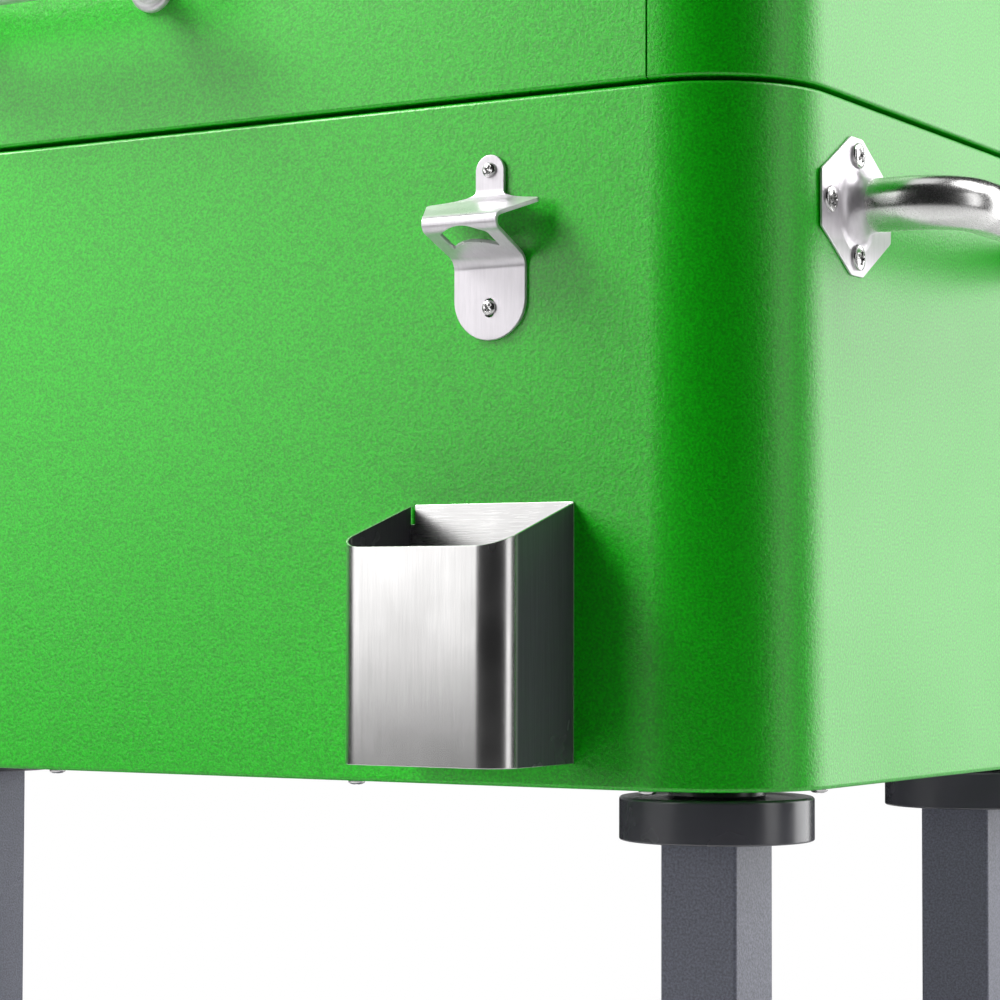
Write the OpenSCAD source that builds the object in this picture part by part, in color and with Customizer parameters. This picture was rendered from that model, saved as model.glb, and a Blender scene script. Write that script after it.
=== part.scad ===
// Rolling patio cooler chest: an insulated steel tub with a hinged lid on four legs with casters.
// All sizes are in millimetres. +X is the right end, -Y is the front, +Z is up, the floor is Z = 0.

/* [Body] */
// Outside length of the tub and the lid
body_l = 800; // [700:1:900]
// Outside depth of the tub and the lid, front to back
body_d = 404; // [380:1:460]
// Height of the steel tub
tub_h = 314; // [300:1:360]
// Radius of the four upright corners
corner_r = 60; // [52:1:70]
// Height of the tub's underside above the floor
tub_z = 447; // [420:1:520]
// Thickness of the insulated wall, skin to liner
wall_t = 25; // [22:1:30]
// Thickness of the insulated floor, tub's underside to the liner's top
floor_t = 27; // [25:1:35]
// Thickness of the painted sheet
sheet_t = 1; // [0.8:0.1:1.5]
// Thickness of the plastic liners
liner_t = 2; // [1.5:0.1:3]

/* [Lid] */
// Height of the lid
lid_h = 98; // [85:1:110]
// Open gap between the tub's rim and the lid
lid_gap = 2; // [2:0.1:4]
// Radius of the lid's top edge
lid_edge_r = 8; // [5:1:12]
// Width of the joint between the lid's middle skin and each end cap
seam_w = 0.8; // [0.6:0.1:2]
// Length of the pull handle on the front of the lid
pull_l = 170; // [140:1:200]
// Diameter of the pull handle's bar
pull_dia = 20; // [16:1:22]

/* [End handles] */
// Diameter of the bent handle tube
grip_dia = 25; // [20:1:28]
// Distance between the two posts of a handle
grip_span = 224; // [180:1:240]
// Height of the handles above the tub's underside
grip_z = 265.3; // [240:0.1:270]
// Distance from the end of the tub to the middle of the grip
grip_reach = 50; // [44:1:60]

/* [Bottle opener] */
// Sideways place of the opener and the cap catcher, from the middle of the cart
tool_x = 259.4; // [200:0.1:265]
// Thickness of the opener's steel
opener_t = 2; // [1.8:0.1:2.2]
// Width of the opener's lower plate
opener_w = 38; // [34:0.5:40]
// Height of the opener's lower end above the tub's underside
opener_z = 202.9; // [190:1:206]

/* [Cap catcher] */
// Width of the catcher
catcher_w = 87.5; // [70:0.5:100]
// Distance that the catcher stands out from the tub
catcher_reach = 62.5; // [50:0.5:70]
// Height of the catcher's floor above the tub's underside
catcher_z = 11.2; // [8:0.1:30]
// Height of the catcher at its back
catcher_h = 117.3; // [100:0.1:130]
// Height of the catcher at its front
catcher_front_h = 98; // [80:0.1:100]

/* [Legs and shelf] */
// Width of the square leg tube
leg_w = 38; // [34:1:42]
// Distance from the middle of a leg to the tub's faces
leg_inset = 52; // [48:1:58]
// Diameter of the round collar on top of each leg
collar_dia = 88.5; // [70:0.5:90]
// Thickness of the round collar
collar_h = 19.8; // [16:0.1:24]
// Height of the shelf's top face above the floor
shelf_z = 165; // [150:1:200]

/* [Casters] */
// Height of a caster, floor to leg
caster_h = 80; // [80:1:90]
// Diameter of a caster's wheel
wheel_dia = 65; // [60:1:65]
// Width of a caster's wheel
wheel_w = 22; // [18:1:24]
// Distance that the wheel trails behind its stem
caster_trail = 24; // [20:1:26]

/* [Hidden] */
$fn = 96;

// Colours
green = [0.36, 0.74, 0.34];
steel = [0.82, 0.82, 0.84];
dark_grey = [0.36, 0.37, 0.41];
black = [0.12, 0.12, 0.13];
white = [0.93, 0.93, 0.91];
foam_yellow = [0.91, 0.84, 0.62];
brass = [0.8, 0.68, 0.42];

// The catcher reaches further forward than the hinges reach back, so the body sits off centre in Y
hinge_out = 6;
knuckle_r = 5;
hinge_reach = hinge_out + knuckle_r;
body_y = (catcher_reach - hinge_reach) / 2;
front_y = body_y - body_d / 2;
rear_y = body_y + body_d / 2;
end_x = body_l / 2;
corner_x = end_x - corner_r;
corner_y = body_d / 2 - corner_r;

// Heights of the tub and the lid
rim_z = tub_z + tub_h;
lid_z = rim_z + lid_gap;
bin_floor_z = tub_z + floor_t;
pan_t = 1.2;
foam_z = tub_z + sheet_t + pan_t;
hem_w = 14;
flange_top_z = rim_z - sheet_t;

// Lid's plug, which drops into the tub's mouth
plug_gap = 3;
plug_drop = 8;
plug_inset = wall_t + plug_gap;

// Hinges at the rear, one near each end
hinge_x = 250;
hinge_z = rim_z + lid_gap / 2;
leaf_w = 60;
leaf_h = 30;
leaf_t = 2;
knuckle_w = 15;
knuckle_gap = 0.5;
pin_r = 2.5;
running_gap = 0.05;

// Screws
tap_depth = 10;
drill_r = 1.8;

// Legs and casters
leg_x = end_x - leg_inset;
leg_y = body_d / 2 - leg_inset;
leg_wall = 1.5;
leg_edge_r = 1.8;
collar_gap = 4;
collar_top_z = tub_z - collar_gap;
collar_low_z = collar_top_z - collar_h;
socket_depth = 12;
leg_top_z = collar_low_z + socket_depth;
leg_plate_t = 3;
foot_t = 3;
leg_low_z = caster_h + foot_t;
mount_bolt_r = 5;
stem_r = 5.5;
fork_top_z = caster_h - 5;
fork_plate_t = 2.5;
fork_side_x = 13;
axle_z = wheel_dia / 2;
axle_r = 4;
pedal_y = 22;
pedal_z = fork_top_z - 5.5;
pedal_pin_r = 2;

// Shelf
shelf_t = 1;
shelf_rim = 28;
shelf_x = leg_x - leg_w / 2;
shelf_y = leg_y + leg_w / 2;

// Drain in the left end, just above the liner's floor
drain_z = bin_floor_z + 17;
drain_bore_r = 6.5;
drain_tube_r = 11;
ball_r = 9;
ball_x = -end_x - 17;
spout_r = 9.5;
spout_l = 20;
valve_split_x = ball_x - 4;
valve_end_x = ball_x - 13;

// ---- Shared outlines and helpers ----

// A rectangle with round corners, flat in XY
module rounded_rect(l, d, r) {
    square([l - 2 * r, d], center = true);
    square([l, d - 2 * r], center = true);
    for (sx = [-1, 1], sy = [-1, 1])
        translate([sx * (l / 2 - r), sy * (d / 2 - r)]) circle(r);
}

// The body's outline, set in from the tub's faces and raised from z0 to z1
module body_block(inset, z0, z1) {
    translate([0, body_y, z0])
        linear_extrude(z1 - z0)
            rounded_rect(body_l - 2 * inset, body_d - 2 * inset, corner_r - inset);
}

// A screw or rivet: domed head above Z = 0 and a plain shank below
module pan_screw(head_r, head_h, shank_r, shank_l) {
    cylinder(h = head_h, r1 = head_r, r2 = head_r * 0.72);
    translate([0, 0, -shank_l]) cylinder(h = shank_l, r = shank_r);
}

// Turns +Z to face the front, the rear, the right end or the left end
module face_front() { rotate([90, 0, 0]) children(); }
module face_rear() { rotate([-90, 0, 0]) children(); }
module face_end(side) { rotate([0, side * 90, 0]) children(); }

// Copies for each of the four legs
module at_legs() {
    for (sx = [-1, 1], sy = [-1, 1])
        translate([sx * leg_x, body_y + sy * leg_y, 0]) children();
}

// ---- Tub ----

module tub_shell() {
    color(green)
        difference() {
            body_block(0, tub_z, rim_z);
            body_block(sheet_t, tub_z + sheet_t, rim_z - sheet_t);
            body_block(hem_w, tub_z - 1, rim_z + 1);
            wall_drillings();
            base_drillings();
            drain_hole();
        }
}

module tub_liner() {
    color(white)
        difference() {
            union() {
                body_block(wall_t - liner_t, bin_floor_z - liner_t, flange_top_z);
                body_block(sheet_t * 2, flange_top_z - liner_t, flange_top_z);
            }
            body_block(wall_t, bin_floor_z, rim_z);
            drain_hole();
        }
}

module tub_foam() {
    color(foam_yellow)
        difference() {
            body_block(sheet_t, foam_z, flange_top_z - liner_t);
            body_block(wall_t - liner_t, bin_floor_z - liner_t, rim_z);
            wall_drillings();
            drain_hole();
            base_drillings();
            nut_pockets();
        }
}

module base_pan() {
    color(steel)
        difference() {
            body_block(sheet_t, tub_z + sheet_t, foam_z);
            base_drillings();
            at_legs() translate([0, 0, tub_z]) cylinder(h = 10, r = mount_bolt_r);
        }
}

// Screws along the folded lower edge of the tub
base_screw_inset = 8;
base_screw_side_x = 181;
corner_screw_gap = 4;
module at_base_screws() {
    outer_x = corner_x - corner_screw_gap;
    outer_y = corner_y - corner_screw_gap * 1.7;
    for (x = [-outer_x, -base_screw_side_x, 0, base_screw_side_x, outer_x], sy = [-1, 1])
        translate([x, body_y + sy * (body_d / 2 - base_screw_inset), tub_z]) children();
    for (y = [-outer_y, outer_y], sx = [-1, 1])
        translate([sx * (end_x - base_screw_inset), body_y + y, tub_z]) children();
}

module base_drillings() {
    at_base_screws() translate([0, 0, -1]) cylinder(h = tap_depth + 1, r = drill_r);
}

module base_pan_screws() {
    color(steel)
        at_base_screws() rotate([180, 0, 0]) pan_screw(4, 2.2, drill_r, tap_depth);
}

// Every hole drilled into the tub's outer walls
module wall_drillings() {
    at_opener_screws() shank_hole(opener_t);
    at_catcher_screws() shank_hole(sheet_t);
    at_handle_screws() shank_hole(handle_plate_t);
    at_hinges() at_leaf_screws(-1) shank_hole(leaf_t);
}

// The shank's hole below a plate whose outer face is at Z = 0
module shank_hole(plate_t) {
    translate([0, 0, -plate_t - tap_depth]) cylinder(h = plate_t + tap_depth, r = drill_r);
}

// ---- Bottle opener ----

// Side profile: a nose bent out of flat strip, as distance out from the wall and height
nose_r = 3.7;
nose_out = 29.2;
nose_u = nose_out - nose_r - opener_t / 2;
nose_z = 51.2;
tab_top = 85.3;
wing_slope = 22;
lip_slope = 22.5;
tab_bend_r = 7.3;
foot_bend_r = 8;
mid_u = opener_t / 2;
lip_end = [nose_u + nose_r * sin(lip_slope), nose_z - nose_r * cos(lip_slope)];
foot_bend_u = mid_u + foot_bend_r;
lip_foot_u = foot_bend_u - foot_bend_r * sin(lip_slope);
lip_foot_z = lip_end[1] - (lip_end[0] - lip_foot_u) * tan(lip_slope);
foot_bend_z = lip_foot_z - foot_bend_r * cos(lip_slope);
wing_start = [nose_u + nose_r * sin(wing_slope), nose_z + nose_r * cos(wing_slope)];
tab_bend_u = mid_u + tab_bend_r;
wing_run = wing_start[0] - tab_bend_u + tab_bend_r * sin(wing_slope);
tab_bend_z = wing_start[1] + wing_run * tan(wing_slope) + tab_bend_r * cos(wing_slope);

function arc(c, r, a0, a1, n) =
    [for (i = [0:n]) let (a = a0 + (a1 - a0) * i / n) [c[0] + r * cos(a), c[1] + r * sin(a)]];

// One face of the bent strip; side is 1 for the outer face and -1 for the face towards the wall
function strip_face(side) =
    let (h = side * opener_t / 2)
    concat(
        [[mid_u + h, tab_top]],
        arc([tab_bend_u, tab_bend_z], tab_bend_r - h, 180, 270 - wing_slope, 10),
        arc([nose_u, nose_z], nose_r + h, 90 - wing_slope, lip_slope - 90, 16),
        arc([foot_bend_u, foot_bend_z], foot_bend_r - h, 90 + lip_slope, 180, 8),
        [[mid_u + h, 0]]
    );

function reversed(list) = [for (i = [len(list) - 1:-1:0]) list[i]];

module opener_strip() {
    rotate([90, 0, 90])
        linear_extrude(80, center = true)
            scale([-1, 1]) polygon(concat(strip_face(1), reversed(strip_face(-1))));
}

// Outline of the wing from above, as distance sideways and out from the wall
tab_w = 15.2;
tip_w = 29.8;
wing_top_z = nose_z + 18;
wing_side = [
    [tab_w / 2, -1], [tab_w / 2, 1.2], [9, 1.7], [14, 3], [22, 4.9], [28, 6.6],
    [tip_w, 8], [tip_w - 0.3, 9.6], [21.5, 24.5], [opener_w / 2 + 0.9, 28], [opener_w / 2, 31]
];

module wing_outline() {
    polygon(concat(wing_side, [for (p = reversed(wing_side)) [-p[0], p[1]]]));
}

// Cap hook: an arched slot through the sloping lip
module cap_slot() {
    difference() {
        intersection() {
            translate([-12.3, 12]) square([24.6, 15]);
            translate([0, 5]) circle(21.5);
        }
        translate([0, -1.6]) circle(18.5);
    }
}

module bottle_opener() {
    foot_r = opener_w / 2;
    color(steel)
        translate([tool_x, front_y, tub_z + opener_z])
            difference() {
                union() {
                    intersection() {
                        opener_strip();
                        translate([0, 0, nose_z]) mirror([0, 1, 0])
                            linear_extrude(wing_top_z - nose_z) wing_outline();
                    }
                    intersection() {
                        opener_strip();
                        face_front() linear_extrude(10) {
                            translate([-tab_w / 2, wing_top_z])
                                square([tab_w, tab_top - wing_top_z - tab_w / 2]);
                            translate([0, tab_top - tab_w / 2]) circle(tab_w / 2);
                        }
                    }
                    intersection() {
                        opener_strip();
                        face_front() linear_extrude(40) {
                            translate([-foot_r, foot_r]) square([opener_w, nose_z - foot_r]);
                            translate([0, foot_r]) circle(foot_r);
                        }
                    }
                }
                translate([0, 0, nose_z - 20]) mirror([0, 1, 0]) linear_extrude(20) cap_slot();
                translate([0, 1, opener_low_screw]) face_front()
                    linear_extrude(5) {
                        translate([0, 2]) circle(2.4);
                        translate([0, -2]) circle(2.4);
                        square([4.8, 4], center = true);
                    }
                translate([0, 1, opener_top_screw]) face_front() cylinder(h = 5, r = drill_r);
            }
}

opener_low_screw = 14.9;
opener_top_screw = 78.1;
module at_opener_screws() {
    for (z = [opener_low_screw, opener_top_screw])
        translate([tool_x, front_y - opener_t, tub_z + opener_z + z]) face_front() children();
}

module opener_screws() {
    color(steel) at_opener_screws() pan_screw(3.5, 2, drill_r, opener_t + tap_depth);
}

// ---- Cap catcher ----

catcher_r = 14;
catcher_t = 1;

// Seen from above: square at the back, round at the front, set in by inset
module catcher_outline(inset) {
    w = catcher_w - 2 * inset;
    r = catcher_r - inset;
    reach = catcher_reach - inset;
    translate([-w / 2, -(reach - r)]) square([w, reach - r - catcher_t]);
    translate([-w / 2 + r, -reach]) square([w - 2 * r, reach - catcher_t]);
    for (sx = [-1, 1]) translate([sx * (w / 2 - r), -(reach - r)]) circle(r);
}

module catcher_box() {
    color(steel)
        translate([tool_x, front_y, tub_z + catcher_z])
            difference() {
                linear_extrude(catcher_h) catcher_outline(0);
                translate([0, 0, catcher_t])
                    linear_extrude(catcher_h) {
                        catcher_outline(catcher_t);
                        translate([-catcher_w / 2 + catcher_t, -5]) square([catcher_w - 2 * catcher_t, 5]);
                    }
                rotate([90, 0, 90])
                    linear_extrude(catcher_w + 10, center = true)
                        polygon([
                            [0, catcher_h], [-catcher_reach + 8, catcher_front_h + 2],
                            [-catcher_reach - 1, catcher_front_h - 0.5],
                            [-catcher_reach - 1, catcher_h + 10], [1, catcher_h + 10]
                        ]);
            }
}

module catcher_back_plate() {
    color(steel)
        difference() {
            translate([tool_x - catcher_w / 2, front_y - catcher_t, tub_z + catcher_z])
                cube([catcher_w, catcher_t, catcher_h]);
            at_catcher_screws() translate([0, 0, -3]) cylinder(h = 6, r = drill_r);
        }
}

module at_catcher_screws() {
    for (sx = [-1, 1])
        translate([tool_x + sx * 24, front_y - catcher_t, tub_z + catcher_z + 60])
            face_front() children();
}

module catcher_screws() {
    color(steel) at_catcher_screws() pan_screw(3.5, 2, drill_r, catcher_t + tap_depth);
}

// ---- End handles ----

handle_plate_t = 1.2;
grip_bend_r = 25;
grip_wall = 1.5;
flange_hw = 38.4;
flange_hh = 32;
flange_cut_w = 6.4;
flange_cut_h = 12.8;
boss_h = 9;
flange_head_r = 6;
flange_head_h = 2.4;

module tube_ring(r) {
    difference() {
        circle(r);
        circle(r - grip_wall);
    }
}

// Handle bent from one tube, on the end at side = 1 (right) or -1 (left)
module handle_tube(side) {
    post_l = grip_reach - grip_bend_r - handle_plate_t;
    color(steel)
        translate([side * end_x, body_y, tub_z + grip_z])
            for (sy = [-1, 1])
                mirror([side < 0 ? 1 : 0, 0, 0]) mirror([0, sy < 0 ? 1 : 0, 0]) {
                    translate([handle_plate_t, grip_span / 2, 0])
                        rotate([0, 90, 0]) linear_extrude(post_l) tube_ring(grip_dia / 2);
                    translate([grip_reach - grip_bend_r, grip_span / 2 - grip_bend_r, 0])
                        rotate_extrude(angle = 90) translate([grip_bend_r, 0]) tube_ring(grip_dia / 2);
                    translate([grip_reach, 0, 0])
                        rotate([-90, 0, 0])
                            linear_extrude(grip_span / 2 - grip_bend_r) tube_ring(grip_dia / 2);
                }
}

module handle_tube_right() { handle_tube(1); }
module handle_tube_left() { handle_tube(-1); }

module at_handle_posts() {
    for (side = [-1, 1], sy = [-1, 1])
        translate([side * end_x, body_y + sy * grip_span / 2, tub_z + grip_z])
            face_end(side) children();
}

// Octagon in the flange's own plane: first value along Z, second along Y
flange_corners = [
    [flange_hh, flange_cut_w], [flange_cut_h, flange_hw],
    [-flange_cut_h, flange_hw], [-flange_hh, flange_cut_w],
    [-flange_hh, -flange_cut_w], [-flange_cut_h, -flange_hw],
    [flange_cut_h, -flange_hw], [flange_hh, -flange_cut_w]
];

// Plate with a pressed boss that curves up to the tube, cut back flat round the screw heads
module handle_flanges() {
    tube_r = grip_dia / 2;
    color(steel)
        at_handle_posts() {
            linear_extrude(handle_plate_t)
                difference() {
                    polygon(flange_corners);
                    for (p = handle_screw_places) translate(p) circle(drill_r);
                }
            translate([0, 0, handle_plate_t])
                difference() {
                    rotate_extrude()
                        difference() {
                            translate([tube_r, 0]) square(boss_h);
                            translate([tube_r + boss_h + 1, boss_h + 1]) circle(boss_h);
                        }
                    for (p = handle_screw_places)
                        translate([p[0], p[1], -1]) cylinder(h = boss_h, r = flange_head_r + 0.3);
                }
        }
}

// Screw places, in the same plane
handle_screw_places = [[23.5, 0], [-23.5, 0], [0, 30], [0, -30]];

module at_handle_screws() {
    at_handle_posts()
        for (p = handle_screw_places)
            translate([p[0], p[1], handle_plate_t]) children();
}

module handle_screws() {
    shank_l = handle_plate_t + tap_depth;
    color(steel) at_handle_screws() pan_screw(flange_head_r, flange_head_h, drill_r, shank_l);
}

// ---- Drain valve ----

// A cylinder along X between two places, on the drain's own line
module drain_rod(r, x0, x1) {
    translate([x0, body_y, drain_z]) rotate([0, 90, 0]) cylinder(h = x1 - x0, r = r);
}

nut_t = 6;
drain_gasket_t = 2;
drain_in_x = -end_x + wall_t;

module drain_hole() {
    drain_rod(drain_tube_r, -end_x - 1, drain_in_x + 1);
}

module ball_seat() {
    translate([ball_x, body_y, drain_z]) sphere(ball_r + running_gap);
}

module drain_body() {
    color(brass)
        difference() {
            union() {
                drain_rod(20, -end_x - 3, -end_x);
                drain_rod(14, valve_split_x, -end_x - 3);
                drain_rod(drain_tube_r, -end_x, drain_in_x + drain_gasket_t + nut_t);
                translate([ball_x + 4, body_y, drain_z]) cylinder(h = 17, r = 7.9);
            }
            drain_rod(drain_bore_r, valve_split_x - 1, drain_in_x + 20);
            ball_seat();
            stem_hole();
        }
}

module stem_hole() {
    translate([ball_x, body_y, drain_z]) cylinder(h = 30, r = stem_hole_r + running_gap);
}
stem_hole_r = 3;

module drain_spout() {
    color(brass)
        difference() {
            union() {
                drain_rod(14, valve_end_x, valve_split_x);
                drain_rod(spout_r, valve_end_x - spout_l, valve_end_x);
            }
            drain_rod(drain_bore_r, valve_end_x - spout_l - 1, valve_split_x + 1);
            ball_seat();
        }
}

module drain_ball() {
    color(steel)
        difference() {
            union() {
                translate([ball_x, body_y, drain_z]) sphere(ball_r);
                translate([ball_x, body_y, drain_z + 5]) cylinder(h = 17, r = stem_hole_r);
            }
            translate([ball_x, body_y - 20, drain_z]) rotate([-90, 0, 0]) cylinder(h = 40, r = 5.5);
        }
}

// Crosswise to the pipe when the valve is shut
module drain_lever() {
    lever_z = drain_z + 17.5;
    color(black)
        difference() {
            translate([ball_x, body_y, lever_z])
                linear_extrude(4) {
                    circle(8);
                    translate([-4.5, -34]) square([9, 34]);
                    translate([0, -34]) circle(4.5);
                }
            translate([ball_x, body_y, lever_z - 1]) cylinder(h = 6, r = stem_hole_r);
        }
}

module drain_gasket() {
    color(black)
        difference() {
            drain_rod(15, drain_in_x, drain_in_x + drain_gasket_t);
            drain_rod(drain_tube_r, drain_in_x - 1, drain_in_x + 5);
        }
}

module drain_locknut() {
    color(white)
        translate([drain_in_x + drain_gasket_t, body_y, drain_z])
            rotate([0, 90, 0])
                difference() {
                    cylinder(h = nut_t, r = 16, $fn = 6);
                    translate([0, 0, -1]) cylinder(h = nut_t + 2, r = drain_tube_r);
                }
}

// ---- Hinges ----

module at_hinges() {
    for (sx = [-1, 1]) translate([sx * hinge_x, rear_y, hinge_z]) children();
}

// A rod along X at the hinge line
module hinge_rod(r, x0, x1) {
    translate([x0, hinge_out, 0]) rotate([0, 90, 0]) cylinder(h = x1 - x0, r = r);
}

// Screws of one leaf; up is 1 on the lid and -1 on the tub
module at_leaf_screws(up) {
    for (x = [-20, 0, 20])
        translate([x, leaf_t, up * (x == 0 ? 23 : 15)]) face_rear() children();
}

module leaf_plate(x0, x1, z0, z1) {
    translate([x0, 0, z0]) cube([x1 - x0, leaf_t, z1 - z0]);
}

module hinge_tub_leaves() {
    edge = leaf_w / 2;
    color(steel)
        at_hinges()
            difference() {
                union() {
                    leaf_plate(-edge, edge, -leaf_h, -knuckle_r - 1);
                    for (sx = [0, 1])
                        mirror([sx, 0, 0]) {
                            leaf_plate(edge - knuckle_w, edge, -knuckle_r - 1, 0);
                            translate([edge - knuckle_w, 0, -3]) cube([knuckle_w, hinge_out, 3]);
                            hinge_rod(knuckle_r, edge - knuckle_w, edge);
                        }
                }
                hinge_rod(pin_r, -edge - 1, edge + 1);
                at_leaf_screws(-1) shank_hole(leaf_t);
            }
}

module hinge_lid_leaves() {
    edge = leaf_w / 2;
    knuckle = edge - knuckle_w - knuckle_gap;
    color(steel)
        at_hinges()
            difference() {
                union() {
                    leaf_plate(-edge, edge, knuckle_r + 1, leaf_h);
                    leaf_plate(-knuckle, knuckle, 0, knuckle_r + 1);
                    translate([-knuckle, 0, 0]) cube([2 * knuckle, hinge_out, 3]);
                    hinge_rod(knuckle_r, -knuckle, knuckle);
                }
                hinge_rod(pin_r + running_gap, -edge, edge);
                at_leaf_screws(1) shank_hole(leaf_t);
            }
}

module hinge_pins() {
    color(steel) at_hinges() hinge_rod(pin_r, -leaf_w / 2, leaf_w / 2);
}

module hinge_tub_screws() {
    color(steel) at_hinges() at_leaf_screws(-1) pan_screw(3.6, 2, drill_r, leaf_t + tap_depth);
}

module hinge_lid_screws() {
    color(steel) at_hinges() at_leaf_screws(1) pan_screw(3.6, 2, drill_r, leaf_t + tap_depth);
}

// ---- Lid ----

// Upright half-section from a middle line out to a wall, with a round upper corner
module crown(w, h, r) {
    square([w - r, h]);
    square([w, h - r]);
    translate([w - r, h - r]) circle(r);
}

// Section of the folded lid skin: top, round edge, wall and the hem turned in below
module skin_section(w) {
    difference() {
        crown(w, lid_h, lid_edge_r);
        translate([-1, sheet_t]) crown(w - sheet_t + 1, lid_h - 2 * sheet_t, lid_edge_r - sheet_t);
        translate([-1, -1]) square([w - hem_w + 1, sheet_t + 2]);
    }
}

// Extrudes a front-to-back half-section along X, both ways from the middle
module across_lid(x0, x1) {
    for (sy = [0, 1])
        translate([x0, body_y, lid_z])
            mirror([0, sy, 0])
                rotate([90, 0, 90]) linear_extrude(x1 - x0) children();
}

skin_end_x = corner_x - seam_w;

module lid_skin() {
    color(green)
        difference() {
            across_lid(-skin_end_x, skin_end_x) skin_section(body_d / 2);
            lid_drillings();
        }
}

// One rounded end of the lid from its section: two turned corners and a straight stretch
module lid_end(side) {
    translate([0, body_y, lid_z])
        mirror([side < 0 ? 1 : 0, 0, 0])
            translate([corner_x, 0, 0]) {
                for (sy = [-1, 1])
                    translate([0, sy * corner_y, 0])
                        rotate([0, 0, sy < 0 ? -90 : 0]) rotate_extrude(angle = 90) children();
                rotate([90, 0, 0]) linear_extrude(2 * corner_y, center = true) children();
            }
}

module lid_end_cap_right() { color(green) lid_end(1) skin_section(corner_r); }
module lid_end_cap_left() { color(green) lid_end(-1) skin_section(corner_r); }

// Dark strip behind each joint of the lid's skin
strip_t = 0.8;
strip_w = 12;
module seam_strip_section() {
    difference() {
        translate([0, sheet_t]) crown(body_d / 2 - sheet_t, lid_h - 2 * sheet_t, lid_edge_r - sheet_t);
        translate([-1, -1])
            crown(body_d / 2 - sheet_t - strip_t + 1, lid_h - sheet_t - strip_t + 1, lid_edge_r - 2);
        translate([-1, -1]) square([body_d, sheet_t + liner_t + 1]);
    }
}

module lid_seam_strips() {
    color(black)
        for (sx = [0, 1])
            mirror([sx, 0, 0]) across_lid(corner_x - strip_w, corner_x) seam_strip_section();
}

// Room for the strips, cut wider than they are so that no faces coincide
module seam_strip_room() {
    room = sheet_t + strip_t;
    for (sx = [0, 1])
        mirror([sx, 0, 0])
            across_lid(corner_x - strip_w, corner_x)
                difference() {
                    translate([0, -1]) square([body_d, lid_h + 10]);
                    translate([-1, -2]) crown(body_d / 2 - room + 1, lid_h - room + 2, lid_edge_r - 2);
                }
}

foam_low = sheet_t + liner_t;
module lid_foam_section(w) {
    intersection() {
        translate([0, sheet_t]) crown(w - sheet_t, lid_h - 2 * sheet_t, lid_edge_r - sheet_t);
        translate([0, foam_low]) square([w, lid_h]);
    }
}

module lid_foam() {
    color(foam_yellow)
        difference() {
            union() {
                across_lid(-corner_x, corner_x) lid_foam_section(body_d / 2);
                for (side = [-1, 1]) lid_end(side) lid_foam_section(corner_r);
                body_block(plug_inset + liner_t, rim_z - plug_drop + liner_t, lid_z + foam_low);
            }
            seam_strip_room();
            lid_drillings();
        }
}

module lid_liner() {
    color(white)
        difference() {
            union() {
                body_block(sheet_t, lid_z + sheet_t, lid_z + foam_low);
                body_block(plug_inset, rim_z - plug_drop, lid_z + foam_low);
            }
            body_block(plug_inset + liner_t, rim_z - plug_drop + liner_t, lid_z + 10);
        }
}

module lid_gasket() {
    gasket_low = flange_top_z + 0.4;
    color(black)
        difference() {
            body_block(hem_w + 1, gasket_low, lid_z + sheet_t);
            body_block(hem_w + 9, gasket_low - 1, lid_z + 10);
        }
}

// ---- Lid handle ----

pull_z = 74;
pull_reach = 42;
pull_post_x = pull_l / 2 - 22;
rosette_t = 4;
post_r = 6.5;

module at_pull_posts() {
    for (sx = [-1, 1])
        translate([sx * pull_post_x, front_y, lid_z + pull_z - lid_gap]) face_front() children();
}

module lid_handle_bar() {
    bar_r = pull_dia / 2;
    color(steel) {
        translate([-pull_l / 2, front_y - pull_reach, lid_z + pull_z - lid_gap])
            rotate([0, 90, 0])
                rotate_extrude() {
                    square([bar_r - 2, pull_l]);
                    translate([0, 2]) square([bar_r, pull_l - 4]);
                    for (y = [2, pull_l - 2]) translate([bar_r - 2, y]) circle(2);
                }
        at_pull_posts() translate([0, 0, rosette_t]) cylinder(h = pull_reach - rosette_t - 2, r = post_r);
    }
}

module lid_handle_rosettes() {
    color(steel)
        at_pull_posts()
            difference() {
                cylinder(h = rosette_t, r1 = 13, r2 = 11);
                translate([0, 0, -1]) cylinder(h = rosette_t + 2, r = 3);
            }
}

module lid_handle_screws() {
    color(steel)
        at_pull_posts()
            translate([0, 0, rosette_t]) rotate([180, 0, 0]) {
                cylinder(h = rosette_t + sheet_t, r = 3);
                translate([0, 0, rosette_t + sheet_t]) cylinder(h = 4, r = 7);
            }
}

module lid_drillings() {
    at_pull_posts() translate([0, 0, -sheet_t - 0.5]) cylinder(h = 2, r = 3);
    at_pull_posts() translate([0, 0, -sheet_t - 4]) cylinder(h = 4, r = 7);
    at_hinges() at_leaf_screws(1) shank_hole(leaf_t);
}

// ---- Legs ----

module leg_outline(w, r) { rounded_rect(w, w, r); }

module leg(sx, sy) {
    color(dark_grey)
        translate([sx * leg_x, body_y + sy * leg_y, 0])
            difference() {
                translate([0, 0, leg_low_z]) linear_extrude(leg_top_z - leg_low_z) leg_outline(leg_w, leg_edge_r);
                translate([0, 0, leg_low_z - 1])
                    linear_extrude(leg_top_z - leg_plate_t - leg_low_z + 1)
                        leg_outline(leg_w - 2 * leg_wall, leg_edge_r - 0.8);
                translate([0, 0, leg_top_z - 10]) cylinder(h = 20, r = mount_bolt_r);
                at_shelf_bolt_axes(sx) cylinder(h = 12, r = shelf_bolt_r);
            }
}

module leg_front_right() { leg(1, -1); }
module leg_front_left() { leg(-1, -1); }
module leg_rear_right() { leg(1, 1); }
module leg_rear_left() { leg(-1, 1); }

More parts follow.
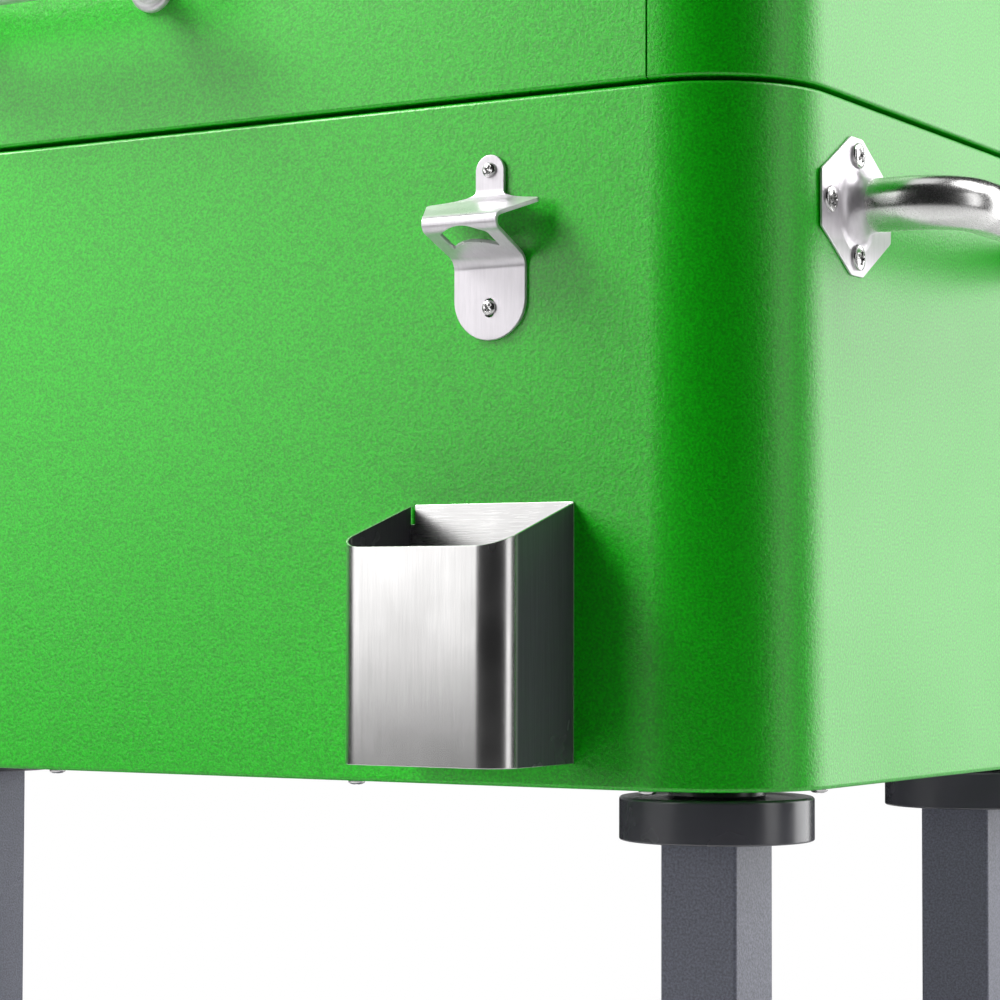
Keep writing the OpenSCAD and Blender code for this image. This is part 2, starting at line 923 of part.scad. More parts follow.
module leg_collars() {
    edge = 1.5;
    color(black)
        at_legs()
            difference() {
                translate([0, 0, collar_low_z])
                    rotate_extrude() {
                        square([collar_dia / 2 - edge, collar_h]);
                        translate([0, edge]) square([collar_dia / 2, collar_h - 2 * edge]);
                        for (y = [edge, collar_h - edge]) translate([collar_dia / 2 - edge, y]) circle(edge);
                        translate([0, collar_h]) square([22, collar_gap + sheet_t]);
                    }
                translate([0, 0, collar_low_z - 1])
                    linear_extrude(socket_depth + 1) leg_outline(leg_w, leg_edge_r);
                translate([0, 0, collar_low_z]) cylinder(h = 60, r = mount_bolt_r);
            }
}

// Bolt from inside the leg, with its nut bedded in the foam
mount_nut_h = 8;
module leg_mount_bolts() {
    bolt_low_z = leg_top_z - leg_plate_t;
    color(steel)
        at_legs() {
            translate([0, 0, bolt_low_z - 5]) cylinder(h = 5, r = 8);
            translate([0, 0, bolt_low_z])
                cylinder(h = foam_z + mount_nut_h + 2 - bolt_low_z, r = mount_bolt_r);
            translate([0, 0, foam_z]) cylinder(h = mount_nut_h, r = 9, $fn = 6);
        }
}

module nut_pockets() {
    at_legs() translate([0, 0, foam_z - 1]) cylinder(h = mount_nut_h + 4, r = 11);
}

// Plastic plug in the foot of each leg, with the caster's socket
insert_h = 35;
module leg_foot_inserts() {
    color(black)
        at_legs()
            difference() {
                union() {
                    translate([0, 0, caster_h]) linear_extrude(foot_t) leg_outline(leg_w, leg_edge_r);
                    translate([0, 0, leg_low_z])
                        linear_extrude(insert_h) leg_outline(leg_w - 2 * leg_wall, leg_edge_r - 0.8);
                }
                translate([0, 0, caster_h - 1]) cylinder(h = stem_up + 1, r = stem_r);
            }
}

// ---- Shelf ----

shelf_bolt_r = 3;
shelf_bolt_z = shelf_z - 14;
module at_shelf_bolt_axes(sx) {
    for (y = [-9, 9])
        translate([-sx * (leg_w / 2 + 1), y, shelf_bolt_z]) rotate([0, sx * 90, 0]) children();
}

module at_shelf_bolts() {
    for (sx = [-1, 1], sy = [-1, 1])
        translate([sx * leg_x, body_y + sy * leg_y, 0]) at_shelf_bolt_axes(sx) children();
}

module shelf_tray() {
    l = 2 * shelf_x;
    d = 2 * shelf_y;
    color(dark_grey)
        translate([0, body_y, 0])
            difference() {
                translate([-l / 2, -d / 2, shelf_z - shelf_rim]) cube([l, d, shelf_rim]);
                translate([-l / 2 + shelf_t, -d / 2 + shelf_t, shelf_z - shelf_rim - 1])
                    cube([l - 2 * shelf_t, d - 2 * shelf_t, shelf_rim - shelf_t + 1]);
                translate([0, -body_y, 0])
                    at_shelf_bolts() translate([0, 0, -5]) cylinder(h = 12, r = shelf_bolt_r);
            }
}

module shelf_bolts() {
    color(steel)
        at_shelf_bolts()
            rotate([180, 0, 0]) {
                cylinder(h = 3.5, r = 5.5);
                translate([0, 0, -10]) cylinder(h = 10, r = shelf_bolt_r);
            }
}

// ---- Casters ----

stem_up = 32;
washer_r = 12;
module caster_stems() {
    retainer_h = 3;
    color(steel)
        at_legs() {
            translate([0, 0, fork_top_z - fork_plate_t - 0.3 - retainer_h]) {
                cylinder(h = retainer_h, r = 9);
                cylinder(h = caster_h + stem_up - fork_top_z + fork_plate_t + 0.3 + retainer_h, r = stem_r);
            }
            translate([0, 0, fork_top_z + 0.3]) cylinder(h = caster_h - fork_top_z - 0.3, r = washer_r);
        }
}

// Puts a caster's own pieces under one leg; the wheel trails to the rear
module at_caster(sx, sy) {
    translate([sx * leg_x, body_y + sy * leg_y, 0]) children();
}

// A rod along X between -x and x
module cross_rod(r, x) { translate([-x, 0, 0]) rotate([0, 90, 0]) cylinder(h = 2 * x, r = r); }

module fork_side_outline() {
    polygon([
        [-15, fork_top_z], [30, fork_top_z], [30, fork_top_z - 10],
        [caster_trail + 9, axle_z], [caster_trail - 9, axle_z], [-15, fork_top_z - 12]
    ]);
    translate([caster_trail, axle_z]) circle(9);
}

module fork(sx, sy) {
    color(steel)
        at_caster(sx, sy)
            difference() {
                union() {
                    translate([0, 0, fork_top_z - fork_plate_t])
                        linear_extrude(fork_plate_t) {
                            circle(17);
                            translate([-fork_side_x, -15]) square([2 * fork_side_x, 32]);
                        }
                    for (side = [-1, 1])
                        translate([side * (fork_side_x + 1.25), 0, 0])
                            rotate([90, 0, 90])
                                linear_extrude(2.5, center = true) fork_side_outline();
                }
                translate([0, 0, fork_top_z - 10]) cylinder(h = 20, r = stem_r + running_gap);
                translate([0, caster_trail, axle_z]) cross_rod(axle_r, 30);
                if (sy < 0) translate([0, pedal_y, pedal_z]) cross_rod(pedal_pin_r + running_gap, 30);
            }
}

module fork_front_right() { fork(1, -1); }
module fork_front_left() { fork(-1, -1); }
module fork_rear_right() { fork(1, 1); }
module fork_rear_left() { fork(-1, 1); }

module wheel(sx, sy) {
    edge = 4;
    r = wheel_dia / 2;
    half = wheel_w / 2;
    color(dark_grey)
        at_caster(sx, sy)
            translate([0, caster_trail, axle_z])
                rotate([0, 90, 0])
                    rotate_extrude()
                        difference() {
                            union() {
                                translate([0, -half]) square([r - edge, wheel_w]);
                                translate([0, -half + edge]) square([r, wheel_w - 2 * edge]);
                                for (s = [-1, 1]) translate([r - edge, s * (half - edge)]) circle(edge);
                                translate([0, -half - 1.4]) square([8, wheel_w + 2.8]);
                            }
                            translate([-1, -half - 5]) square([1 + axle_r + running_gap, wheel_w + 10]);
                            for (s = [-1, 1]) translate([11, s * half - 2]) square([11, 4]);
                        }
}

module wheel_front_right() { wheel(1, -1); }
module wheel_front_left() { wheel(-1, -1); }
module wheel_rear_right() { wheel(1, 1); }
module wheel_rear_left() { wheel(-1, 1); }

module axle(sx, sy) {
    outer = fork_side_x + 2.5;
    color(steel)
        at_caster(sx, sy)
            translate([0, caster_trail, axle_z]) {
                cross_rod(axle_r, outer);
                for (side = [-1, 1])
                    rotate([0, side * 90, 0]) translate([0, 0, outer]) cylinder(h = 2.5, r1 = 6.5, r2 = 5);
            }
}

module axle_front_right() { axle(1, -1); }
module axle_front_left() { axle(-1, -1); }
module axle_rear_right() { axle(1, 1); }
module axle_rear_left() { axle(-1, 1); }

// Foot pedal across the fork, above the wheel; its arm slopes down to the rear
pedal_slope = 6;
pedal_l = 42;
module pedal_strip(y0, y1, low, high) {
    rotate(-pedal_slope) translate([y0, low]) square([y1 - y0, high - low]);
}

module brake_pedal(sx) {
    arm_w = 2 * fork_side_x - 1.2;
    color(black)
        at_caster(sx, -1)
            translate([0, pedal_y, pedal_z]) {
                cross_rod(pedal_pin_r, fork_side_x + 2.5);
                rotate([90, 0, 90]) {
                    linear_extrude(arm_w, center = true) {
                        circle(3);
                        pedal_strip(0, pedal_l, -1.2, 1.2);
                    }
                    linear_extrude(arm_w + 4, center = true)
                        pedal_strip(18, pedal_l + 1, -1.3, 2.2);
                }
            }
}

module brake_pedal_right() { brake_pedal(1); }
module brake_pedal_left() { brake_pedal(-1); }

// ---- Nodes ----

tub_shell();
tub_liner();
tub_foam();
base_pan();
base_pan_screws();
bottle_opener();
opener_screws();
catcher_box();
catcher_back_plate();
catcher_screws();
handle_tube_right();
handle_tube_left();
handle_flanges();
handle_screws();
drain_body();
drain_spout();
drain_gasket();
drain_locknut();
drain_ball();
drain_lever();
hinge_tub_leaves();
hinge_tub_screws();
hinge_pins();
hinge_lid_leaves();
hinge_lid_screws();
lid_skin();
lid_end_cap_right();
lid_end_cap_left();
lid_seam_strips();
lid_foam();
lid_liner();
lid_gasket();
lid_handle_bar();
lid_handle_rosettes();
lid_handle_screws();
leg_front_right();
leg_front_left();
leg_rear_right();
leg_rear_left();
leg_collars();
leg_mount_bolts();
leg_foot_inserts();
shelf_tray();
shelf_bolts();
caster_stems();
fork_front_right();
fork_front_left();
fork_rear_right();
fork_rear_left();
wheel_front_right();
wheel_front_left();
wheel_rear_right();
wheel_rear_left();
axle_front_right();
axle_front_left();
axle_rear_right();
axle_rear_left();
brake_pedal_right();
brake_pedal_left();
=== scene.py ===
"""Looks of the rolling cooler chest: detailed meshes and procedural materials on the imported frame."""
import math

import bmesh
import bpy
from mathutils import Matrix, Vector

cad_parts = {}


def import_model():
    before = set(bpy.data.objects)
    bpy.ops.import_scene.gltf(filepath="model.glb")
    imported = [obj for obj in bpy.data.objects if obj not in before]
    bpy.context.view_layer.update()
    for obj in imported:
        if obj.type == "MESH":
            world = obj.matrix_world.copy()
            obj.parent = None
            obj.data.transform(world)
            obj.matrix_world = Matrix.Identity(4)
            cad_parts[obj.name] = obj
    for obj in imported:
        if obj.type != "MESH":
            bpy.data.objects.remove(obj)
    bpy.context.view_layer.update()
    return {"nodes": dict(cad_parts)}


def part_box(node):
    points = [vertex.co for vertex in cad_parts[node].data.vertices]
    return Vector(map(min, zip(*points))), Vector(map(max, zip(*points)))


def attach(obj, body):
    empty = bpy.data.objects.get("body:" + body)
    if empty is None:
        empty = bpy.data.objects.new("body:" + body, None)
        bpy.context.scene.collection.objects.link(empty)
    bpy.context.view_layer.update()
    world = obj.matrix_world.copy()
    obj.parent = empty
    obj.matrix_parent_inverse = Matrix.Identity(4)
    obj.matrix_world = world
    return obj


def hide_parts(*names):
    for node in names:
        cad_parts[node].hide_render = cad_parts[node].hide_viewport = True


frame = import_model()

# Lengths in this script are millimetres; MM turns them into Blender's metres.
MM = 0.001

# Points closer than this are merged, and a hair keeps a face just inside the CAD's box.
MERGE = 0.004
HAIR = 0.001


def box(node):
    """Lowest and highest corners of a CAD node at rest, in millimetres."""
    low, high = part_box(node)
    return [v / MM for v in low], [v / MM for v in high]


# ---- Driving dimensions, read from the frame ----

tub_low, tub_high = box("tub_shell")
lid_low, lid_high = box("lid_skin")
cap_low, cap_high = box("lid_end_cap_right")
opener_low, opener_high = box("bottle_opener")
catcher_low, catcher_high = box("catcher_box")
liner_high = box("tub_liner")[1]
shelf_low, shelf_high = box("shelf_tray")
grip_low, grip_high = box("handle_tube_right")
bar_low, bar_high = box("lid_handle_bar")
collar_low, collar_high = box("leg_collars")

END_X = tub_high[0]
FRONT_Y = tub_low[1]
REAR_Y = tub_high[1]
BODY_Y = (FRONT_Y + REAR_Y) / 2
TUB_Z = tub_low[2]
RIM_Z = tub_high[2]
LID_Z = cap_low[2]
LID_TOP = cap_high[2]
CORNER_R = 60
HALF_DEPTH = (REAR_Y - FRONT_Y) / 2
SHEET = 1
HEM = 14
WALL = 25
LID_EDGE_R = 8
CAP_X = cap_low[0]
LEGS = {
    name: [(low + high) / 2 for low, high in zip(*box("leg_" + name))]
    for name in ("front_right", "front_left", "rear_right", "rear_left")
}

# ---- Mesh parts: each is a pair (points, faces) in millimetres ----


def arc(cx, cy, r, a0, a1, steps):
    """Points on an arc, angles in degrees."""
    span = a1 - a0
    angles = [math.radians(a0 + span * i / steps) for i in range(steps + 1)]
    return [(cx + r * math.cos(a), cy + r * math.sin(a)) for a in angles]


def joined(*parts):
    """One part out of several."""
    points, faces = [], []
    for part_points, part_faces in parts:
        base = len(points)
        points += part_points
        faces += [[base + i for i in face] for face in part_faces]
    return points, faces


def moved(part, matrix):
    """The part with every point put through a matrix."""
    points, faces = part
    return [tuple(matrix @ Vector(p)) for p in points], faces


def loft(loops, wrap=False, caps=True):
    """Skin over closed loops of equal length; wrap joins the last loop to the first."""
    n = len(loops[0])
    points = [p for loop in loops for p in loop]
    faces = []
    rows = len(loops)
    for i in range(rows if wrap else rows - 1):
        a, b = i * n, (i + 1) % rows * n
        faces += [[a + j, a + (j + 1) % n, b + (j + 1) % n, b + j] for j in range(n)]
    if caps and not wrap:
        faces.append(list(reversed(range(n))))
        faces.append([(rows - 1) * n + j for j in range(n)])
    return points, faces


def lathe(profile, steps=64, wrap=False):
    """Turns (radius, height) points about Z; the ends are capped unless the profile wraps."""
    loops = []
    for r, z in profile:
        turn = [2 * math.pi * i / steps for i in range(steps)]
        loops.append([(r * math.cos(a), r * math.sin(a), z) for a in turn])
    return loft(loops, wrap=wrap)


def tube(path, radius, steps=40):
    """Round bar along a smooth path of 3-D points."""
    path = [Vector(p) for p in path]
    loops = []
    tangent = (path[1] - path[0]).normalized()
    side = tangent.orthogonal().normalized()
    for i, point in enumerate(path):
        ahead = path[min(i + 1, len(path) - 1)]
        behind = path[max(i - 1, 0)]
        new_tangent = (ahead - behind).normalized()
        side = tangent.rotation_difference(new_tangent) @ side
        tangent = new_tangent
        other = tangent.cross(side)
        turn = [2 * math.pi * k / steps for k in range(steps)]
        loops.append([tuple(point + radius * (math.cos(a) * side + math.sin(a) * other)) for a in turn])
    return loft(loops)


def plate(outlines, thickness, edge=0.3):
    """Flat plate in XY, centred on Z = 0: the first outline is its rim and the others are holes."""
    curve = bpy.data.curves.new("outline", "CURVE")
    curve.dimensions = "2D"
    curve.fill_mode = "BOTH"
    curve.extrude = thickness / 2 - edge
    curve.bevel_depth = edge
    curve.bevel_resolution = 2
    curve.offset = -edge
    for outline in outlines:
        spline = curve.splines.new("POLY")
        spline.points.add(len(outline) - 1)
        for point, (x, y) in zip(spline.points, outline):
            point.co = (x, y, 0, 1)
        spline.use_cyclic_u = True
    holder = bpy.data.objects.new("outline", curve)
    mesh = bpy.data.meshes.new_from_object(holder)
    part = [tuple(v.co) for v in mesh.vertices], [list(p.vertices) for p in mesh.polygons]
    bpy.data.objects.remove(holder)
    bpy.data.curves.remove(curve)
    bpy.data.meshes.remove(mesh)
    return part


def softened(outline, radius, least_turn=25, steps=4):
    """The outline with its sharp corners rounded."""
    result = []
    count = len(outline)
    for i, corner in enumerate(outline):
        before = Vector(outline[i - 1])
        here = Vector(corner)
        after = Vector(outline[(i + 1) % count])
        back = before - here
        ahead = after - here
        turn = 180 - math.degrees(back.angle(ahead))
        if turn < least_turn:
            result.append(corner)
            continue
        start = here + back.normalized() * min(radius, 0.45 * back.length)
        end = here + ahead.normalized() * min(radius, 0.45 * ahead.length)
        for k in range(steps + 1):
            t = k / steps
            point = (1 - t) ** 2 * start + 2 * t * (1 - t) * here + t ** 2 * end
            result.append(tuple(point))
    return result


def rounded_rectangle(half_x, half_y, r, steps, middle_y=0.0):
    """Outline with round corners, centred on X = 0 and the given middle Y."""
    x, y = half_x - r, half_y - r
    loop = []
    for sx, sy, start in ((1, -1, -90), (1, 1, 0), (-1, 1, 90), (-1, -1, 180)):
        loop += arc(sx * x, middle_y + sy * y, r, start, start + 90, steps)
    return loop


def body_outline(inset, steps=20):
    """The body's outline seen from above, set in from its faces."""
    r = max(CORNER_R - inset, 0.5)
    return rounded_rectangle(END_X - inset, HALF_DEPTH - inset, r, steps, BODY_Y)


def around_body(section, wrap=True):
    """Carries a section of (inset, height) points round the whole body."""
    return loft([[(x, y, z) for x, y in body_outline(inset)] for inset, z in section], wrap=wrap)


def strip_section(middle, thickness):
    """Closed section of a sheet from the middle line of its thickness."""
    left, right = [], []
    for i, point in enumerate(middle):
        before = Vector(middle[max(i - 1, 0)])
        after = Vector(middle[min(i + 1, len(middle) - 1)])
        run = (after - before).normalized()
        side = Vector((-run.y, run.x)) * thickness / 2
        left.append(tuple(Vector(point) + side))
        right.append(tuple(Vector(point) - side))
    return left + right[::-1]


def piece(name, part, material, body, replaced=(), bevel=0.0, sharp=35):
    """Makes the finished object of a part: cleaned, smooth shaded, and riding on its body."""
    points, faces = part
    mesh = bpy.data.meshes.new(name)
    mesh.from_pydata([tuple(c * MM for c in p) for p in points], [], faces)
    work = bmesh.new()
    work.from_mesh(mesh)
    bmesh.ops.remove_doubles(work, verts=work.verts, dist=MERGE * MM)
    bmesh.ops.dissolve_degenerate(work, edges=work.edges, dist=MERGE / 2 * MM)
    bmesh.ops.recalc_face_normals(work, faces=work.faces)
    work.to_mesh(mesh)
    work.free()
    mesh.materials.append(material)
    obj = bpy.data.objects.new(name, mesh)
    bpy.context.scene.collection.objects.link(obj)
    finish_shading(obj, bevel, sharp)
    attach(obj, body)
    if replaced:
        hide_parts(*replaced)
    return obj


def finish_shading(obj, bevel, sharp):
    """Smooth shading with crisp folds, and a small round on the edges where bevel is not zero."""
    obj.data.shade_smooth()
    obj.data.set_sharp_from_angle(angle=math.radians(sharp))
    if bevel:
        rounding = obj.modifiers.new("edge_round", "BEVEL")
        rounding.width = bevel * MM
        rounding.segments = 3
        rounding.limit_method = "ANGLE"
        rounding.angle_limit = math.radians(40)
        rounding.harden_normals = False
        rounding.use_clamp_overlap = True
    weighted = obj.modifiers.new("flat_faces", "WEIGHTED_NORMAL")
    weighted.keep_sharp = True
    weighted.weight = 80


# ---- Materials ----


class Shader:
    """A material under construction: its node tree, its shader and short calls for common nodes."""

    def __init__(self, name, roughness, metallic=0.0, **sockets):
        self.material = bpy.data.materials.new(name)
        self.material.use_nodes = True
        self.tree = self.material.node_tree
        self.shader = self.tree.nodes["Principled BSDF"]
        self.shader.inputs["Roughness"].default_value = roughness
        self.shader.inputs["Metallic"].default_value = metallic
        for socket, value in sockets.items():
            self.shader.inputs[socket.replace("_", " ")].default_value = value
        self.place = self.node("ShaderNodeTexCoord").outputs["Object"]

    def node(self, kind, **settings):
        made = self.tree.nodes.new(kind)
        for key, value in settings.items():
            setattr(made, key, value)
        return made

    def link(self, output, target):
        self.tree.links.new(output, target)

    def stretched(self, scale):
        mapping = self.node("ShaderNodeMapping")
        mapping.inputs["Scale"].default_value = scale
        self.link(self.place, mapping.inputs["Vector"])
        return mapping.outputs["Vector"]

    def noise(self, scale, detail=3.0, where=None, roughness=0.55):
        texture = self.node("ShaderNodeTexNoise")
        texture.inputs["Scale"].default_value = scale
        texture.inputs["Detail"].default_value = detail
        texture.inputs["Roughness"].default_value = roughness
        self.link(where or self.place, texture.inputs["Vector"])
        return texture.outputs["Fac"]

    def spread(self, value, low, high, start=0.0, end=1.0):
        """Maps a value from start..end to low..high."""
        span = self.node("ShaderNodeMapRange")
        span.inputs["From Min"].default_value = start
        span.inputs["From Max"].default_value = end
        span.inputs["To Min"].default_value = low
        span.inputs["To Max"].default_value = high
        self.link(value, span.inputs["Value"])
        return span.outputs["Result"]

    def ramp(self, value, stops):
        """Colours along a value; the stops are (place, (r, g, b))."""
        ramp = self.node("ShaderNodeValToRGB")
        elements = ramp.color_ramp.elements
        while len(elements) < len(stops):
            elements.new(0.5)
        for element, (where, colour) in zip(elements, stops):
            element.position = where
            element.color = (*colour, 1.0)
        self.link(value, ramp.inputs["Fac"])
        return ramp.outputs["Color"]

    def bump(self, *layers):
        """Stacks bump layers, each (height, strength, distance in millimetres)."""
        normal = None
        for height, strength, distance in layers:
            bump = self.node("ShaderNodeBump")
            bump.inputs["Strength"].default_value = strength
            bump.inputs["Distance"].default_value = distance * MM
            self.link(height, bump.inputs["Height"])
            if normal:
                self.link(normal, bump.inputs["Normal"])
            normal = bump.outputs["Normal"]
        self.link(normal, self.shader.inputs["Normal"])

    def colour(self, output):
        self.link(output, self.shader.inputs["Base Color"])

    def roughness(self, output):
        self.link(output, self.shader.inputs["Roughness"])


def shade(colour, factor):
    return tuple(min(1.0, c * factor) for c in colour)


def powder_coat(name, colour, tint, roughness, level):
    """Powder coat: fine orange peel, a finer grain and faint cloudy variation."""
    s = Shader(name, roughness, Specular_IOR_Level=level, Specular_Tint=(*tint, 1.0))
    grain = s.noise(900, 2.0)
    peel = s.noise(480, 2.0)
    cloud = s.noise(6, 3.0)
    s.colour(s.ramp(grain, [(0.34, shade(colour, 0.70)), (0.66, shade(colour, 1.26))]))
    s.roughness(s.spread(cloud, roughness - 0.03, roughness + 0.03, 0.3, 0.7))
    s.bump((peel, 0.55, 0.24), (grain, 0.60, 0.16))
    return s.material


def brushed(name, colour, stretch, roughness, bump=0.12, anisotropic=0.4, metallic=1.0):
    """Brushed stainless steel; the scratches run along the axis with the small stretch."""
    s = Shader(name, roughness, metallic, Anisotropic=anisotropic)
    lines = s.noise(1.0, 4.0, s.stretched(stretch), 0.7)
    fine = s.noise(1.0, 2.0, s.stretched(tuple(2.7 * v for v in stretch)))
    smudge = s.noise(28, 3.0)
    s.colour(s.ramp(lines, [(0.25, shade(colour, 0.90)), (0.75, shade(colour, 1.05))]))
    both = s.node("ShaderNodeMath", operation="ADD")
    s.link(s.spread(fine, -0.05, 0.05, 0.3, 0.7), both.inputs[0])
    s.link(s.spread(smudge, roughness - 0.03, roughness + 0.04, 0.3, 0.7), both.inputs[1])
    s.roughness(both.outputs[0])
    s.bump((lines, bump, 0.03))
    return s.material


def steel_with_painted_dark_side(name):
    """Upright brushed steel with painted shade: flat faces turned to +X get a near-black, less metallic
    colour in place of the dark reflection on that side, darker than the rest, which stays bright steel.
    """
    s = Shader(name, 0.24, 1.0, Anisotropic=0.4)
    lines = s.noise(1.0, 4.0, s.stretched((1500, 1500, 25)), 0.7)
    smudge = s.noise(28, 3.0)
    facing = s.node("ShaderNodeSeparateXYZ")
    s.link(s.node("ShaderNodeTexCoord").outputs["Normal"], facing.inputs[0])
    nearly_square = 0.985
    # Mask of the faces turned to +X that get the painted shade.
    side = s.spread(facing.outputs["X"], 0.0, 1.0, nearly_square, 1.0)
    bright = s.ramp(lines, [(0.25, (0.69, 0.68, 0.675)), (0.75, (0.80, 0.79, 0.785))])
    # Painted shade: near-black colour standing in for the dark reflection on the +X faces.
    painted_side_shade = s.ramp(lines, [(0.25, (0.075, 0.068, 0.086)), (0.75, (0.105, 0.097, 0.120))])
    blend = s.node("ShaderNodeMixRGB")
    s.link(side, blend.inputs[0])
    s.link(bright, blend.inputs[1])
    s.link(painted_side_shade, blend.inputs[2])
    s.colour(blend.outputs[0])
    s.link(s.spread(side, 1.0, 0.12), s.shader.inputs["Metallic"])
    s.roughness(s.spread(smudge, 0.22, 0.28, 0.3, 0.7))
    s.bump((lines, 0.12, 0.03))
    return s.material


def plated(name, colour, roughness, speckle=260, bump=0.15):
    """Plated or cast metal with a faint grain."""
    s = Shader(name, roughness, 1.0)
    grain = s.noise(speckle, 4.0)
    stain = s.noise(45, 3.0)
    s.colour(s.ramp(stain, [(0.3, shade(colour, 0.86)), (0.7, shade(colour, 1.05))]))
    s.roughness(s.spread(grain, roughness - 0.05, roughness + 0.10, 0.3, 0.7))
    s.bump((grain, bump, 0.05))
    return s.material


def screw_plated(name, colour, roughness):
    """Polished screw steel with painted shade darkening the hollows of its recess."""
    s = Shader(name, roughness, 1.0)
    hollow = s.spread(s.node("ShaderNodeNewGeometry").outputs["Pointiness"], 0.0, 1.0, 0.40, 0.49)
    stain = s.noise(60, 3.0)
    recess_shade = s.node("ShaderNodeMath", operation="MULTIPLY")
    s.link(hollow, recess_shade.inputs[0])
    s.link(s.spread(stain, 0.88, 1.0, 0.3, 0.7), recess_shade.inputs[1])
    # Painted shade: near-black where low pointiness marks a hollow of the recess, varied slightly by noise.
    s.colour(s.ramp(recess_shade.outputs[0], [(0.0, shade(colour, 0.05)), (1.0, colour)]))
    s.roughness(s.spread(hollow, 0.6, roughness))
    s.bump((s.noise(260, 4.0), 0.15, 0.05))
    return s.material


def moulded(name, colour, roughness, pebble=900, bump=0.2, **sockets):
    """Moulded plastic or rubber with a fine pebble and slight cloudiness."""
    s = Shader(name, roughness, **sockets)
    grain = s.noise(pebble, 3.0)
    cloud = s.noise(18, 3.0)
    s.colour(s.ramp(cloud, [(0.3, shade(colour, 0.96)), (0.7, shade(colour, 1.03))]))
    s.roughness(s.spread(cloud, roughness - 0.04, roughness + 0.05, 0.3, 0.7))
    s.bump((grain, bump, 0.06))
    return s.material


def cellular_foam(name, colour):
    """Cut rigid foam with open cells."""
    s = Shader(name, 0.9)
    cells = s.node("ShaderNodeTexVoronoi")
    cells.inputs["Scale"].default_value = 700
    s.link(s.place, cells.inputs["Vector"])
    s.colour(s.ramp(cells.outputs["Distance"], [(0.0, shade(colour, 0.78)), (0.6, colour)]))
    s.bump((cells.outputs["Distance"], 0.6, 0.4))
    return s.material


STEEL_COLOUR = (0.80, 0.79, 0.785)
GREEN = powder_coat("green_powder_coat", (0.0, 0.48, 0.0), (0.84, 1.0, 0.74), 0.33, 0.95)
GREY = powder_coat("grey_powder_coat", (0.150, 0.156, 0.200), (0.97, 0.98, 1.0), 0.45, 0.6)
# The catcher box's faces turned to +X carry painted shade in place of a dark reflection.
STEEL_BOX = steel_with_painted_dark_side("steel_box_painted_side_shade")
STEEL_CROSS = brushed("steel_brushed_cross", STEEL_COLOUR, (25, 1500, 1500), 0.30)
STEEL_SATIN = brushed("steel_satin", (0.78, 0.745, 0.785), (900, 300, 60), 0.34, 0.15, metallic=0.55)
STEEL_TUBE = brushed("steel_tube", STEEL_COLOUR, (1200, 40, 1200), 0.26)
SCREW = screw_plated("screw_steel", (0.72, 0.71, 0.71), 0.22)
ZINC = plated("zinc_plate", (0.66, 0.67, 0.66), 0.34)
BRASS = plated("valve_brass", (0.72, 0.53, 0.26), 0.30, 320, 0.25)
COLLAR = moulded("collar_plastic", (0.060, 0.060, 0.072), 0.24, 500, 0.05, Specular_IOR_Level=0.95)
BLACK = moulded("black_plastic", (0.022, 0.022, 0.025), 0.45)
# The seam strip's near-black green is painted shade for the gaps in the lid's skin.
SEAM_SHADE_STRIP = moulded("seam_strip", (0.006, 0.02, 0.006), 0.6)
SEAL = moulded("seal_rubber", (0.03, 0.03, 0.032), 0.65)
TREAD = moulded("wheel_rubber", (0.05, 0.05, 0.055), 0.55, 500, 0.25)
LINER = moulded("liner_plastic", (0.80, 0.80, 0.78), 0.32, 350, 0.12)
FOAM = cellular_foam("foam", (0.80, 0.70, 0.42))

# ---- Tub and lid ----


def fold(points, r, steps=6):
    """A polyline with its inner corners bent to radius r."""
    path = [points[0]]
    for before, here, after in zip(points, points[1:], points[2:]):
        a, b, c = Vector(before), Vector(here), Vector(after)
        start = b + (a - b).normalized() * r
        end = b + (c - b).normalized() * r
        centre = start + (c - b).normalized() * r
        for k in range(steps + 1):
            turn = math.radians(90 * k / steps)
            out = (start - centre) * math.cos(turn) + (end - centre) * math.sin(turn)
            path.append(tuple(centre + out))
    path.append(points[-1])
    return path


def tub():
    half = SHEET / 2
    bend = 1.6
    middle = fold([
        (HEM, TUB_Z + half), (half, TUB_Z + half), (half, RIM_Z - half), (HEM, RIM_Z - half)
    ], bend)
    piece("tub_shell_folded", around_body(strip_section(middle, SHEET)), GREEN, "cart",
          ["tub_shell"])


def tub_liner():
    thick = 2
    lip = 1.5
    floor_z = TUB_Z + 27
    floor_r = 14
    top = liner_high[2]
    outside = [(WALL - thick, floor_z - thick), (WALL - thick, top - thick)]
    outside += [(thick, top - thick), (thick, top)]
    inside = [(WALL - lip, top), (WALL, top - lip)]
    inside += arc(WALL + floor_r, floor_z + floor_r, floor_r, 180, 270, 8)
    shell = around_body(outside + inside, wrap=False)
    piece("tub_liner_moulded", shell, LINER, "cart", ["tub_liner"], bevel=0.5)


def lid_path(end_inset, bend=1.3):
    """Middle line of the lid's sheet, from the hem up the wall and over to the given inset."""
    half = SHEET / 2
    low = LID_Z + half
    top = LID_TOP - half
    edge_r = LID_EDGE_R - half
    wall = fold([(HEM, low), (half, low), (half, top - edge_r)], bend)
    return wall + arc(half + edge_r, top - edge_r, edge_r, 180, 90, 10)[1:] + [(end_inset, top)]


def lid_middle():
    """Middle skin: the section at both ends, front and rear walls and the top in one loop."""
    section = lid_path(HALF_DEPTH)
    front = [(BODY_Y - HALF_DEPTH + inset, z) for inset, z in section]
    rear = [(BODY_Y + HALF_DEPTH - inset, z) for inset, z in section[-2::-1]]
    sheet = strip_section(front + rear, SHEET)
    stations = [lid_low[0] + HAIR, 0, lid_high[0] - HAIR]
    loops = [[(x, y, z) for y, z in sheet] for x in stations]
    piece("lid_skin_folded", loft(loops), GREEN, "lid", ["lid_skin"], bevel=0.25)


